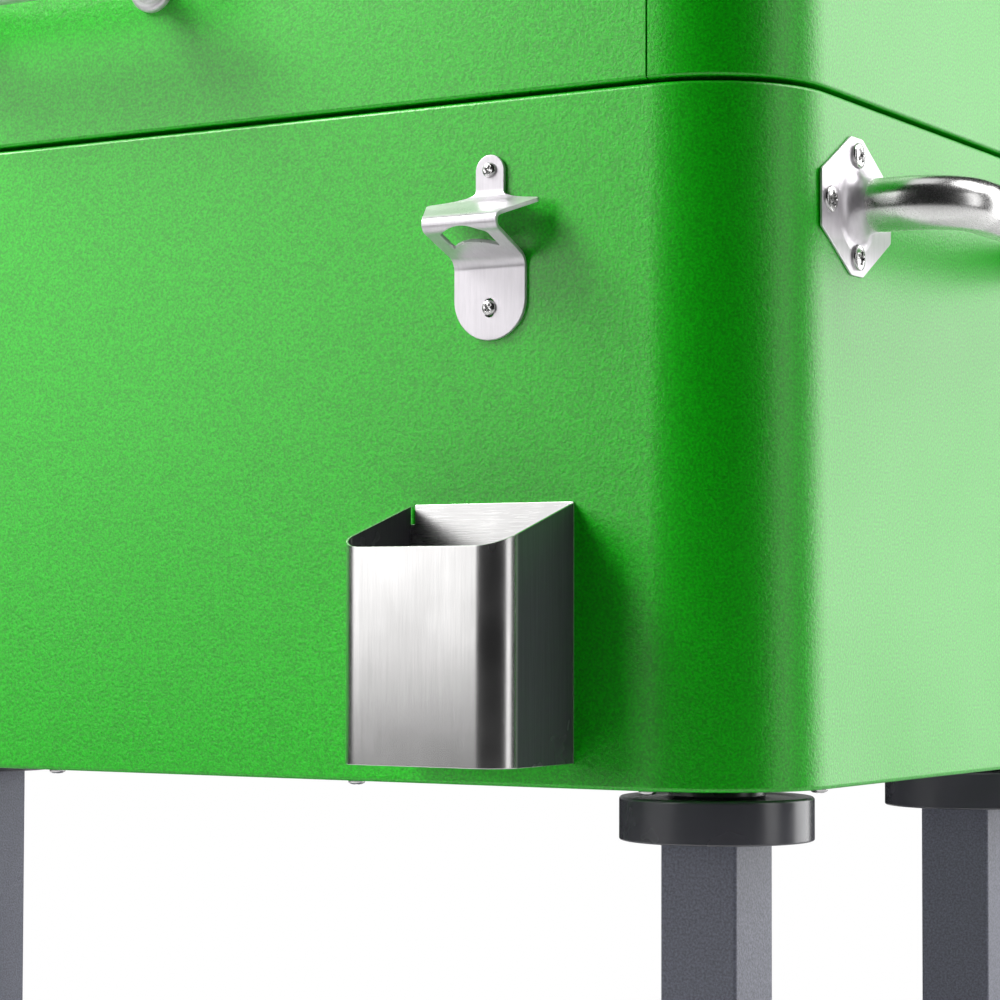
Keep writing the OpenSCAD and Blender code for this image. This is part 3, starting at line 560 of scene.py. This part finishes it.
def lid_cap(side):
    """Rounded end of the lid: the section carried round two corners and the straight end."""
    section = strip_section(lid_path(CORNER_R), SHEET)
    straight = HALF_DEPTH - CORNER_R
    stations = [(-straight, a) for a in range(-90, 1, 5)] + [(straight, a) for a in range(0, 91, 5)]
    loops = []
    for y, angle in stations:
        turn = math.radians(angle)
        loop = []
        for inset, z in section:
            r = CORNER_R - inset
            x = CAP_X + r * math.cos(turn)
            loop.append((side * x, BODY_Y + y + r * math.sin(turn), z))
        loops.append(loop)
    name = "right" if side > 0 else "left"
    piece("lid_cap_" + name, loft(loops), GREEN, "lid", ["lid_end_cap_" + name], bevel=0.25)


def seam_strips():
    """Near-black strip behind each joint of the lid's skin, from the hem up, over the top and down again:
    painted shade that keeps the narrow gap dark.
    """
    depth = 0.8
    face = 0.97
    width = 12
    middle = face + depth / 2
    edge_r = LID_EDGE_R - middle
    top = LID_TOP - middle
    foot = LID_Z + 1.05
    wall = [(middle, foot)] + arc(middle + edge_r, top - edge_r, edge_r, 180, 90, 10)
    front = [(BODY_Y - HALF_DEPTH + inset, z) for inset, z in wall]
    rear = [(BODY_Y + HALF_DEPTH - inset, z) for inset, z in reversed(wall)]
    section = strip_section(front + rear, depth)
    copies = []
    clear = 0.1
    for x in (CAP_X - width, -CAP_X + clear):
        stations = (x, x + width / 2, x + width - clear)
        copies.append(loft([[(station, y, z) for y, z in section] for station in stations]))
    piece("lid_seam_shade_backing", joined(*copies), SEAM_SHADE_STRIP, "lid", ["lid_seam_strips"])


def gasket():
    low, high = box("lid_gasket")
    width = 8
    bead_r = 2
    inset = HEM + 1
    bead = arc(inset + width / 2, low[2] + bead_r, bead_r, 180, 360, 8)
    section = [(inset, high[2])] + bead + [(inset + width, high[2])]
    piece("lid_gasket_bead", around_body(section), SEAL, "lid", ["lid_gasket"])


# ---- Screws ----


def cross_recess(x, y, r):
    """Depth of a cross recess at a point, from 0 outside it to 1 in its arms."""
    arm = 0.15 * r
    reach = 0.60 * r
    slope = 0.12 * r

    def inside(along, across):
        wide = max(0.0, min(1.0, (arm - abs(across)) / (0.5 * arm) + 0.5))
        long = max(0.0, min(1.0, (reach - abs(along)) / slope))
        return wide * long
    return max(inside(x, y), inside(y, x))


def phillips(head_r, head_h, rim=0.30, turn=20, rings=18, steps=72):
    """Screw head with a domed top, a cross recess and a rounded rim; rim is its share of the height."""
    top_r = 0.97 * head_r
    recess = 0.80 * head_h
    spin = math.radians(turn)
    angles = [2 * math.pi * k / steps for k in range(steps)]
    base = [(head_r * math.cos(a), head_r * math.sin(a)) for a in angles]
    loops = [[(x, y, 0.0) for x, y in base], [(x, y, head_h * rim * 0.75) for x, y in base]]
    for i in range(rings, 0, -1):
        r = top_r * i / rings
        dome = head_h * (rim + (1 - rim) * math.sqrt(max(0.0, 1 - (r / head_r) ** 2)))
        loop = []
        for a in angles:
            x, y = r * math.cos(a), r * math.sin(a)
            depth = recess * cross_recess(x, y, head_r) * (1 - 0.3 * r / head_r)
            loop.append((x * math.cos(spin) - y * math.sin(spin),
                         x * math.sin(spin) + y * math.cos(spin), dome - depth))
        loops.append(loop)
    tip = loops[-1]
    points, faces = loft(loops, caps=False)
    points.append((0, 0, sum(p[2] for p in tip) / len(tip)))
    last = len(points) - 1
    start = (len(loops) - 1) * steps
    faces += [[start + k, start + (k + 1) % steps, last] for k in range(steps)]
    return points, faces


TO_FRONT = Matrix.Rotation(math.radians(90), 4, "X")
TO_REAR = Matrix.Rotation(math.radians(-90), 4, "X")
DOWN = Matrix.Rotation(math.radians(180), 4, "X")


def to_end(side):
    return Matrix.Rotation(math.radians(side * 90), 4, "Y")


def screws(name, node, head, places, body="cart"):
    """Copies of one head at (position, turning matrix, spin in degrees)."""
    copies = []
    for position, facing, spin in places:
        about = Matrix.Rotation(math.radians(spin), 4, "Z")
        copies.append(moved(head, Matrix.Translation(position) @ facing @ about))
    piece(name, joined(*copies), SCREW, body, [node], sharp=50)


# ---- Bottle opener ----

OPENER_X = (opener_low[0] + opener_high[0]) / 2
OPENER_Z = opener_low[2]
OPENER_TALL = opener_high[2] - opener_low[2]
OPENER_T = 2
OPENER_HALF = 19
TAB_HALF = 7.6
LIP_SLOPE = 22.5
WING_SLOPE = 22
NOSE_OUT = 29.2
NOSE_Z = 51.2
NOSE_R = 3.7
TAB_BEND_R = 7.3
FOOT_BEND_R = 8
OPENER_LOW_SCREW = 14.9
OPENER_HIGH_SCREW = 78.1


def opener_bends():
    """The strip's middle line from its lower end up: straight lengths and bends (degrees, radius)."""
    lip = math.radians(LIP_SLOPE)
    wing = math.radians(WING_SLOPE)
    nose_u = NOSE_OUT - NOSE_R - OPENER_T / 2
    lip_out = nose_u + NOSE_R * math.sin(lip) - OPENER_T / 2 - FOOT_BEND_R * (1 - math.sin(lip))
    lip_z = NOSE_Z - NOSE_R * math.cos(lip) - lip_out * math.tan(lip)
    wing_out = nose_u + NOSE_R * math.sin(wing) - OPENER_T / 2 - TAB_BEND_R * (1 - math.sin(wing))
    wing_z = NOSE_Z + NOSE_R * math.cos(wing) + wing_out * math.tan(wing)
    return [
        ("run", lip_z - FOOT_BEND_R * math.cos(lip)),
        ("bend", LIP_SLOPE - 90, FOOT_BEND_R),
        ("run", lip_out / math.cos(lip)),
        ("bend", 180 - WING_SLOPE - LIP_SLOPE, NOSE_R),
        ("run", wing_out / math.cos(wing)),
        ("bend", WING_SLOPE - 90, TAB_BEND_R),
        ("run", OPENER_TALL - wing_z - TAB_BEND_R * math.cos(wing)),
    ]


OPENER_PATH = opener_bends()


def opener_place(along):
    """Distance out, height and heading of the middle line at a length along the strip."""
    out, up, heading = OPENER_T / 2, 0.0, 90.0
    for kind, amount, *radius in OPENER_PATH:
        a = math.radians(heading)
        if kind == "run":
            step = min(along, amount)
            out += step * math.cos(a)
            up += step * math.sin(a)
            along -= step
        else:
            r = radius[0]
            length = abs(math.radians(amount)) * r
            step = min(along, length)
            side = 1 if amount > 0 else -1
            turned = side * step / r
            cx, cy = out - side * r * math.sin(a), up + side * r * math.cos(a)
            out = cx + side * r * math.sin(a + turned)
            up = cy - side * r * math.cos(a + turned)
            heading += math.degrees(turned)
            along -= step
        if along <= 1e-9:
            break
    return out, up, heading


def path_length(parts):
    """Length of the middle line along its runs and bends."""
    total = 0.0
    for kind, amount, *radius in parts:
        total += amount if kind == "run" else abs(math.radians(amount)) * radius[0]
    return total


def opener_rim(lip_start, nose_start, total):
    """Outline of the unbent plate: (across, along), from its round foot past the wings to its round tab."""
    foot_flare = 6
    nose_flare = 0.5
    wing = [
        (19.9, 27.7), (21.5, 24.5), (23.1, 21.5), (24.7, 18.5), (26.3, 15.5), (27.9, 12.5), (29.5, 9.5),
        (29.8, 8.3), (29.3, 7.3), (28, 6.6), (25, 5.75), (22, 4.9), (18, 3.95), (14, 3.0),
        (11.2, 2.35), (9, 1.8), (8.1, 1.5), (TAB_HALF, 1.25)
    ]

    def length_at_out(out):
        """Where the wing and tab, beyond the nose, are this far out."""
        along = nose_start + 4.5
        while along < total and opener_place(along)[0] > out:
            along += 0.05
        return along

    right = [(OPENER_HALF, OPENER_HALF + foot_flare), (OPENER_HALF, lip_start),
             (OPENER_HALF + nose_flare, nose_start)]
    right += [(x, length_at_out(out)) for x, out in wing]
    foot = arc(0, OPENER_HALF, OPENER_HALF, -180, 0, 36)
    top = arc(0, total - TAB_HALF, TAB_HALF, 0, 180, 20)
    return foot + right + top + [(-x, y) for x, y in reversed(right)]


def cap_slot(lip_start):
    """Slot that takes the cap, between two arcs on the sloping lip."""
    half = 12.3
    steps = 16
    low_r, low_middle = 18.5, -1.6
    high_r, high_middle = 21.5, 7

    def on_lip(x, out):
        start_out = opener_place(lip_start)[0]
        return x, lip_start + (out - start_out) / math.cos(math.radians(LIP_SLOPE))

    xs = [half * (2 * i / steps - 1) for i in range(steps + 1)]
    low_edge = [on_lip(x, math.sqrt(low_r ** 2 - x * x) + low_middle) for x in xs]
    high_edge = [on_lip(x, math.sqrt(high_r ** 2 - x * x) + high_middle) for x in reversed(xs)]
    return softened(low_edge + high_edge, 2.2, 40)


def screw_slot():
    """Upright slot for the lower screw."""
    r = 2.4
    half = 2
    middle = OPENER_LOW_SCREW
    return arc(0, middle + half, r, 0, 180, 12) + arc(0, middle - half, r, 180, 360, 12)


def flat_mesh(part):
    """A part as an open mesh with its doubled points merged."""
    work = bmesh.new()
    points = [work.verts.new(p) for p in part[0]]
    for face in part[1]:
        if len(set(face)) > 2:
            try:
                work.faces.new([points[i] for i in face])
            except ValueError:
                pass
    bmesh.ops.remove_doubles(work, verts=work.verts, dist=MERGE)
    return work


def bend_cuts(total):
    """Lengths where the flat plate is cut across: close together in the bends."""
    close, apart = 0.5, 2.0
    cut = apart
    cuts = []
    while cut < total - 1:
        cuts.append(cut)
        heading = opener_place(cut)[2]
        bending = abs(opener_place(cut + 0.6)[2] - heading) > 0.01
        cut += close if bending else apart
    return cuts


def bend_along_opener(work):
    """Moves every point of the flat plate onto the bent middle line."""
    for vert in work.verts:
        x, along, offset = vert.co
        out, up, heading = opener_place(along)
        a = math.radians(heading)
        out += offset * math.sin(a)
        up -= offset * math.cos(a)
        vert.co = (OPENER_X + x, FRONT_Y - out, OPENER_Z + up)


def opener():
    lip_start = path_length(OPENER_PATH[:2])
    nose_start = path_length(OPENER_PATH[:3])
    total = path_length(OPENER_PATH)
    rim = opener_rim(lip_start, nose_start, total)
    work = flat_mesh(plate([rim, cap_slot(lip_start), screw_slot()], OPENER_T, 0.4))
    for height in bend_cuts(total):
        geometry = work.verts[:] + work.edges[:] + work.faces[:]
        bmesh.ops.bisect_plane(work, geom=geometry, plane_co=(0, height, 0), plane_no=(0, 1, 0), dist=1e-4)
    bend_along_opener(work)
    work.verts.index_update()
    part = [tuple(v.co) for v in work.verts], [[v.index for v in f.verts] for f in work.faces]
    work.free()
    piece("opener_bent_plate", part, STEEL_SATIN, "cart", ["bottle_opener"], sharp=50)
    screws("opener_screw_heads", "opener_screws", phillips(3.5, 2), [
        ((OPENER_X, FRONT_Y - OPENER_T, OPENER_Z + z), TO_FRONT, spin)
        for z, spin in ((OPENER_LOW_SCREW, 25), (OPENER_HIGH_SCREW, 50))
    ])


# ---- Cap catcher ----

CATCHER_X = (catcher_low[0] + catcher_high[0]) / 2
CATCHER_HALF = (catcher_high[0] - catcher_low[0]) / 2
CATCHER_REACH = FRONT_Y - catcher_low[1]
CATCHER_Z = catcher_low[2]
CATCHER_TALL = catcher_high[2] - CATCHER_Z
CATCHER_FRONT_TALL = 98
CATCHER_R = 14
CATCHER_BACK = 1.05


def catcher_rim(out):
    """Height of the box's rim at a distance out from the tub: a slope that rounds over at the front."""
    slope = (CATCHER_TALL - CATCHER_FRONT_TALL - 2) / (CATCHER_REACH - 8)
    drop = max(0.0, out - (CATCHER_REACH - CATCHER_R)) / CATCHER_R
    return CATCHER_TALL - slope * out - 1.2 * drop * drop


def catcher_path():
    """The box's outside seen from above: ((across, out), outward direction), from left to right."""
    reach, half, r = CATCHER_REACH, CATCHER_HALF, CATCHER_R
    steps = 14
    left = [((-half, out), (-1, 0)) for out in (CATCHER_BACK, 12, 24, 36, reach - r)]
    for i in range(1, steps + 1):
        a = math.radians(90 * i / steps)
        place = (-half + r - r * math.cos(a), reach - r + r * math.sin(a))
        left.append((place, (-math.cos(a), math.sin(a))))
    front = [((x, reach), (0, 1)) for x in (-14, 0, 14)]
    return left + front + [((-p[0], p[1]), (-n[0], n[1])) for p, n in reversed(left)]


def catcher_box():
    walls = []
    for (x, out), (nx, ny) in catcher_path():
        top = catcher_rim(out)
        section = [(0.35, 0.0), (0.1, 0.1), (0.0, 0.35), (0.0, top * 0.35), (0.0, top * 0.7),
                   (0.0, top - 0.3), (0.09, top - 0.09), (0.3, top), (0.7, top), (0.91, top - 0.09),
                   (1.0, top - 0.3), (1.0, top * 0.6), (1.0, 0.0)]
        walls.append([(CATCHER_X + x - nx * s, FRONT_Y - out + ny * s, CATCHER_Z + z) for s, z in section])
    inner = CATCHER_HALF - SHEET
    inner_r = CATCHER_R - SHEET
    corner = arc(inner - inner_r, CATCHER_REACH - CATCHER_R, inner_r, 0, 90, 12)
    outline = [(-inner, CATCHER_BACK)] + [(-x, y) for x, y in corner] + corner[::-1] + [(inner, CATCHER_BACK)]
    turned = Matrix.Translation((CATCHER_X, FRONT_Y, CATCHER_Z + SHEET / 2)) @ Matrix.Scale(-1, 4, (0, 1, 0))
    base = moved(plate([outline], SHEET, 0.1), turned)
    piece("catcher_folded_box", joined(loft(walls), base), STEEL_BOX, "cart",
          ["catcher_box"], sharp=40)


def catcher_back():
    """Back plate with a notch in its upper left corner."""
    low, high = box("catcher_back_plate")
    notch_wide, notch_tall = 3.2, 9
    width = (high[0] - low[0]) / 2
    tall = high[2] - low[2]
    outline = softened([(-width, 0), (width, 0), (width, tall), (-width + notch_wide, tall),
                        (-width + notch_wide, tall - notch_tall), (-width, tall - notch_tall)], 0.5)
    place = Matrix.Translation((CATCHER_X, FRONT_Y - SHEET / 2, low[2])) @ TO_FRONT
    sheet = moved(plate([outline], 0.98 * SHEET, 0.15), place)
    piece("catcher_back_sheet", sheet, STEEL_CROSS, "cart", ["catcher_back_plate"], sharp=40)


def catcher_screws():
    screw_x, screw_z = 24, 60
    screws("catcher_screw_heads", "catcher_screws", phillips(3.5, 2), [
        ((CATCHER_X + sx * screw_x, FRONT_Y - SHEET, CATCHER_Z + screw_z), TO_FRONT, 15 + 40 * sx)
        for sx in (-1, 1)
    ])


def catcher():
    catcher_box()
    catcher_back()
    catcher_screws()


# ---- End handles ----

GRIP_Z = (grip_low[2] + grip_high[2]) / 2
GRIP_R = (grip_high[2] - grip_low[2]) / 2
GRIP_X = grip_high[0] - GRIP_R
POST_Y = (grip_high[1] - grip_low[1]) / 2 - GRIP_R
GRIP_BEND = 25
FLANGE_T = 1.2
HANDLE_SCREW_PLACES = ((23.5, 0), (-23.5, 0), (0, 30), (0, -30))


def end_handle(side):
    name = "right" if side > 0 else "left"
    bend_y = POST_Y - GRIP_BEND
    bend_x = GRIP_X - GRIP_BEND
    path = [(END_X + FLANGE_T, -POST_Y)]
    path += arc(bend_x, -bend_y, GRIP_BEND, -90, 0, 18)
    path += [(GRIP_X, 0)]
    path += arc(bend_x, bend_y, GRIP_BEND, 0, 90, 18)
    path += [(END_X + FLANGE_T, POST_Y)]
    line = [(side * x, BODY_Y + y, GRIP_Z) for x, y in path]
    piece("handle_bent_tube_" + name, tube(line, GRIP_R, 48), STEEL_TUBE, "cart",
          ["handle_tube_" + name])


def flange_part():
    """Octagonal plate with its pressed boss, standing on Z = 0; X is along the body's height."""
    half_tall, half_wide = 32, 38.4
    flat_tall, flat_wide = 12.8, 6.4
    quarter = [(half_tall, flat_wide), (flat_tall, half_wide)]
    upper = quarter + [(-x, y) for x, y in reversed(quarter)]
    corners = upper + [(x, -y) for x, y in reversed(upper)]
    sheet = moved(plate([softened(corners, 1.2)], FLANGE_T, 0.35), Matrix.Translation((0, 0, FLANGE_T / 2)))
    rise = 9
    overlap = 0.6
    buried = -0.4
    profile = [(GRIP_R + rise + overlap, buried)]
    profile += arc(GRIP_R + rise, rise, rise, 270, 180, 14)
    profile += [(GRIP_R - overlap, rise), (GRIP_R - overlap, buried)]
    boss = moved(lathe(profile, 96, wrap=True), Matrix.Translation((0, 0, FLANGE_T)))
    return joined(sheet, boss)


def flanges():
    flange = flange_part()
    copies, places = [], []
    spin = 12
    spin_step = 37
    for side in (-1, 1):
        for sy in (-1, 1):
            post = Matrix.Translation((side * END_X, BODY_Y + sy * POST_Y, GRIP_Z)) @ to_end(side)
            copies.append(moved(flange, post))
            for x, y in HANDLE_SCREW_PLACES:
                spot = post @ Vector((x, y, FLANGE_T))
                places.append((spot, to_end(side), spin))
                spin += spin_step
    piece("handle_flange_plates", joined(*copies), STEEL_SATIN, "cart", ["handle_flanges"],
          sharp=40)
    screws("handle_screw_heads", "handle_screws", phillips(6, 2.4, 0.45, 45), places)


# ---- Lid handle ----


def lid_bar(bar_r, half):
    """Solid bar along Z with rounded ends."""
    edge = 2
    core = bar_r - edge
    profile = [(core - 3, half)]
    profile += [(core + x, z) for x, z in arc(0, half - edge, edge, 90, 0, 6)]
    profile += [(core + x, z) for x, z in arc(0, edge - half, edge, 0, -90, 6)]
    profile += [(core - 3, -half)]
    return lathe(profile, 56)


def lid_handle():
    bar_r = (bar_high[2] - bar_low[2]) / 2
    bar_y = bar_low[1] + bar_r
    bar_z = (bar_high[2] + bar_low[2]) / 2
    half = bar_high[0]
    post_x = half - 22
    rosette_t = 4
    reach = FRONT_Y - bar_y
    post = [(9.0, rosette_t), (7.4, rosette_t + 1.2), (6.6, rosette_t + 3.2), (6.3, rosette_t + 7),
            (6.3, reach - 5), (6.5, reach - 3)]
    disc = [(13, 0), (13, 1.6), (12.6, 2.6), (11.6, 3.4), (10.2, rosette_t), (6, rosette_t)]
    parts = [moved(lid_bar(bar_r, half), Matrix.Translation((0, bar_y, bar_z)) @ to_end(1))]
    discs = []
    for sx in (-1, 1):
        foot = Matrix.Translation((sx * post_x, FRONT_Y, bar_z)) @ TO_FRONT
        parts.append(moved(lathe(post, 40), foot))
        discs.append(moved(lathe(disc, 56), foot))
    piece("lid_handle_turned_bar", joined(*parts), STEEL_SATIN, "lid", ["lid_handle_bar"])
    piece("lid_handle_discs", joined(*discs), STEEL_SATIN, "lid", ["lid_handle_rosettes"])


# ---- Legs, collars and shelf ----

LEG_EDGE_R = 1.6


def legs():
    for name, (x, y, _) in LEGS.items():
        low, high = box("leg_" + name)
        half = (high[0] - low[0]) / 2
        outline = rounded_rectangle(half, half, LEG_EDGE_R, 5)
        heights = [low[2], low[2] + 60, (low[2] + high[2]) / 2, high[2]]
        loops = [[(x + px, y + py, z) for px, py in outline] for z in heights]
        piece("leg_tube_" + name, loft(loops), GREY, "cart", ["leg_" + name], bevel=0.2)


def collars():
    """Round collar with soft edges, a shallow step on top and a neck up to the tub."""
    z0 = collar_low[2]
    neck_top = collar_high[2] - z0
    radius = collar_high[0] - LEGS["front_right"][0]
    bore, neck_r = 16, 22
    tall = 19.8
    groove = 0.6
    low_edge = 0.9
    top_edge = 1.5
    profile = [(bore, 0), (radius - 5, 0)] + arc(radius - low_edge, low_edge, low_edge, -90, 0, 6)
    profile += arc(radius - top_edge, tall - top_edge, top_edge, 0, 90, 8)
    profile += [(radius - 8, tall), (radius - 9, tall - groove), (neck_r + 3, tall - groove)]
    profile += [(neck_r + groove, tall), (neck_r, tall + 0.8), (neck_r, neck_top), (bore, neck_top)]
    body = lathe(profile, 96)
    copies = [moved(body, Matrix.Translation((x, y, z0))) for x, y, _ in LEGS.values()]
    piece("leg_collar_rings", joined(*copies), COLLAR, "cart", ["leg_collars"], sharp=40)


def shelf_ring(inset):
    """The tray's outline seen from above, set in from its edges."""
    r = max(3.5 - inset, 0.4)
    half_y = (shelf_high[1] - shelf_low[1]) / 2
    return rounded_rectangle(shelf_high[0] - inset, half_y - inset, r, 5, BODY_Y)


def shelf():
    """Tray with a turned-down rim, folded from one sheet."""
    top = shelf_high[2]
    half = SHEET / 2
    bend = 3
    deck_inset = 40
    middle = [(half, shelf_low[2]), (half, top - bend)]
    middle += arc(half + bend, top - bend - half, bend, 180, 90, 6) + [(deck_inset, top - half)]
    section = strip_section(middle, SHEET)
    rim = loft([[(px, py, z) for px, py in shelf_ring(inset)] for inset, z in section], wrap=True)
    sheet = plate([shelf_ring(deck_inset)], SHEET, 0.02)
    deck = moved(sheet, Matrix.Translation((0, 0, top - half)))
    piece("shelf_folded_tray", joined(rim, deck), GREY, "cart", ["shelf_tray"])


# ---- Screws under the tub and on the hinges ----


CORNER_SCREW_X = END_X - CORNER_R - 4
MIDDLE_SCREW_X = 181
BASE_SCREW_XS = (-CORNER_SCREW_X, -MIDDLE_SCREW_X, 0, MIDDLE_SCREW_X, CORNER_SCREW_X)
BASE_SCREW_Y = HALF_DEPTH - CORNER_R - 6.8


def base_screws():
    """The heads stand where the CAD node has its shanks: along all four lower edges."""
    low, high = box("base_pan_screws")
    r = 4
    spots = [(x, y) for x in BASE_SCREW_XS for y in (low[1] + r, high[1] - r)]
    spots += [(x, BODY_Y + sy * BASE_SCREW_Y) for x in (low[0] + r, high[0] - r) for sy in (-1, 1)]
    places = [((x, y, TUB_Z), DOWN, 31 * (i + 1)) for i, (x, y) in enumerate(spots)]
    screws("base_screw_heads", "base_pan_screws", phillips(r, 2.2), places)


def hinge_screws():
    pins_low, pins_high = box("hinge_pins")
    axis_z = (pins_low[2] + pins_high[2]) / 2
    half_wide = 30
    leaf_t = 2
    hinge_x = pins_high[0] - half_wide
    head = phillips(3.6, 2)
    for node, up, body in (("hinge_tub_screws", -1, "cart"), ("hinge_lid_screws", 1, "lid")):
        places = []
        for sx in (-1, 1):
            for x in (-20, 0, 20):
                drop = 23 if x == 0 else 15
                spot = (sx * hinge_x + x, REAR_Y + leaf_t, axis_z + up * drop)
                places.append((spot, TO_REAR, 40 * len(places)))
        screws(node + "_heads", node, head, places, body)


# ---- Casters ----


def wheel_part():
    """Tyre with a rounded tread, dished sides and a hub."""
    r = 32.5
    half = 11
    tread_r = 4
    outer = r - tread_r
    side = [(4.3, 12.4), (8, 12.4), (8.6, 11.8), (9, 9.2), (21, 9.2), (22.2, 10.4), (23, half)]
    profile = [(x, -z) for x, z in side]
    profile += [(outer + x, z) for x, z in arc(0, tread_r - half, tread_r, -90, 0, 8)]
    profile += [(outer + x, z) for x, z in arc(0, half - tread_r, tread_r, 0, 90, 8)]
    profile += side[::-1]
    return lathe(profile, 80, wrap=True)


def wheels():
    wheel = wheel_part()
    for name in LEGS:
        low, high = box("wheel_" + name)
        centre = [(a + b) / 2 for a, b in zip(low, high)]
        part = moved(wheel, Matrix.Translation(centre) @ to_end(1))
        piece("tyre_" + name, part, TREAD, "roller_" + name, ["wheel_" + name], sharp=45)


# ---- CAD nodes that stay ----

KEPT = {
    "tub_foam": (FOAM, 0), "lid_foam": (FOAM, 0), "base_pan": (ZINC, 0.15), "lid_liner": (LINER, 0.8),
    "drain_body": (BRASS, 0.5), "drain_spout": (BRASS, 0.5),
    "drain_gasket": (SEAL, 0.3), "drain_locknut": (LINER, 0.6), "drain_ball": (SCREW, 0.3),
    "drain_lever": (BLACK, 0.8), "hinge_tub_leaves": (STEEL_CROSS, 0.35), "hinge_pins": (SCREW, 0.4),
    "hinge_lid_leaves": (STEEL_CROSS, 0.35), "lid_handle_screws": (SCREW, 0.3),
    "leg_mount_bolts": (ZINC, 0.5), "leg_foot_inserts": (BLACK, 0.5), "shelf_bolts": (SCREW, 0.7),
    "caster_stems": (ZINC, 0.3),
}
for leg in LEGS:
    KEPT["fork_" + leg] = (ZINC, 0.5)
    KEPT["axle_" + leg] = (SCREW, 0.5)
for side_name in ("right", "left"):
    KEPT["brake_pedal_" + side_name] = (BLACK, 0.6)


def dress_kept_nodes():
    """Materials and small edge rounds on the CAD nodes that show as they are."""
    for name, (material, bevel) in KEPT.items():
        obj = frame["nodes"][name]
        obj.data.materials.clear()
        obj.data.materials.append(material)
        flat = obj.modifiers.new("plain_faces", "DECIMATE")
        flat.decimate_type = "DISSOLVE"
        flat.angle_limit = math.radians(2)
        finish_shading(obj, bevel, 35)


# ---- Studio ----

TARGET = (0.300, FRONT_Y * MM, 0.600)


def aim(obj, position, target):
    """Stands a light at a position, facing the target."""
    obj.location = position
    obj.rotation_euler = (Vector(target) - Vector(position)).to_track_quat("-Z", "Y").to_euler()


def softbox(name, azimuth, elevation, distance, width, height, radiance, target=TARGET):
    """Area light in metres and degrees; azimuth 0 is in front of the cart and 90 off its right end."""
    a, e = math.radians(azimuth), math.radians(elevation)
    offset = (math.sin(a) * math.cos(e), -math.cos(a) * math.cos(e), math.sin(e))
    light = bpy.data.lights.new(name, "AREA")
    light.shape = "RECTANGLE"
    light.size = width
    light.size_y = height
    light.energy = radiance * math.pi * width * height
    obj = bpy.data.objects.new(name, light)
    bpy.context.scene.collection.objects.link(obj)
    aim(obj, [t + distance * o for t, o in zip(target, offset)], target)


def lights():
    """Large soft panels; each line gives azimuth, elevation, distance, width, height and radiance."""
    softbox("panel_left", -46, 21, 2.2, 1.8, 2.0, 1.95)
    softbox("key_left", -60, 42, 1.6, 0.55, 0.55, 23)
    softbox("panel_right", 147, 12, 2.2, 1.4, 2.0, 3.2)
    softbox("high_right", 126, 48, 2.4, 1.2, 1.2, 5.8)
    softbox("fill_right", 95, 10, 2.4, 0.8, 1.8, 1.5)
    softbox("panel_rear_left", 215, 25, 2.8, 2.0, 1.8, 1.6, (0, 0.2, 0.6))
    softbox("top", 20, 88, 2.4, 1.6, 1.4, 0.9, (0, 0, 0.7))


def world():
    """White where the camera looks past the object, and a dim cool surround for the light that reaches it."""
    made = bpy.data.worlds.new("studio")
    made.use_nodes = True
    tree = made.node_tree
    tree.nodes.clear()
    seen = tree.nodes.new("ShaderNodeBackground")
    seen.inputs["Color"].default_value = (1, 1, 1, 1)
    ambient = tree.nodes.new("ShaderNodeBackground")
    ambient.inputs["Color"].default_value = (0.95, 0.97, 1.0, 1)
    ambient.inputs["Strength"].default_value = 0.01
    path = tree.nodes.new("ShaderNodeLightPath")
    mix = tree.nodes.new("ShaderNodeMixShader")
    out = tree.nodes.new("ShaderNodeOutputWorld")
    tree.links.new(path.outputs["Is Camera Ray"], mix.inputs["Fac"])
    tree.links.new(ambient.outputs[0], mix.inputs[1])
    tree.links.new(seen.outputs[0], mix.inputs[2])
    tree.links.new(mix.outputs[0], out.inputs["Surface"])
    bpy.context.scene.world = made


def floor():
    """Round pale floor."""
    s = Shader("pale_floor", 0.7)
    cloud = s.noise(3, 4.0)
    s.colour(s.ramp(cloud, [(0.3, (0.80, 0.80, 0.80)), (0.7, (0.84, 0.84, 0.84))]))
    s.bump((s.noise(400), 0.05, 0.2))
    mesh = bpy.data.meshes.new("floor")
    radius = 2.35
    below_wheels = -0.0005
    count = 128
    angles = [2 * math.pi * i / count for i in range(count)]
    rim = [(radius * math.cos(a), radius * math.sin(a), below_wheels) for a in angles]
    mesh.from_pydata(rim, [], [list(range(count))])
    mesh.materials.append(s.material)
    obj = bpy.data.objects.new("floor", mesh)
    bpy.context.scene.collection.objects.link(obj)


CAMERA_PLACE = (0.9457, -1.3061, 0.5215)
CAMERA_YAW = 31.099
CAMERA_PITCH = 2.406
CAMERA_ROLL = 0.143
LENS = 104.45
SENSOR = 36


def camera():
    """Camera at the tub's height, off its front right corner."""
    turn = Matrix.Rotation(math.radians(CAMERA_YAW), 4, "Z")
    turn = turn @ Matrix.Rotation(math.pi / 2 + math.radians(CAMERA_PITCH), 4, "X")
    turn = turn @ Matrix.Rotation(math.radians(CAMERA_ROLL), 4, "Z")
    lens = bpy.data.cameras.new("camera")
    lens.lens = LENS
    lens.sensor_width = SENSOR
    lens.clip_end = 50
    obj = bpy.data.objects.new("camera", lens)
    obj.matrix_world = Matrix.Translation(CAMERA_PLACE) @ turn
    bpy.context.scene.collection.objects.link(obj)
    bpy.context.scene.camera = obj


camera()
world()
floor()
lights()
tub()
tub_liner()
lid_middle()
lid_cap(1)
lid_cap(-1)
seam_strips()
gasket()
opener()
catcher()
end_handle(1)
end_handle(-1)
flanges()
lid_handle()
legs()
collars()
shelf()
base_screws()
hinge_screws()
wheels()
dress_kept_nodes()

bpy.context.scene.view_settings.view_transform = "Standard"
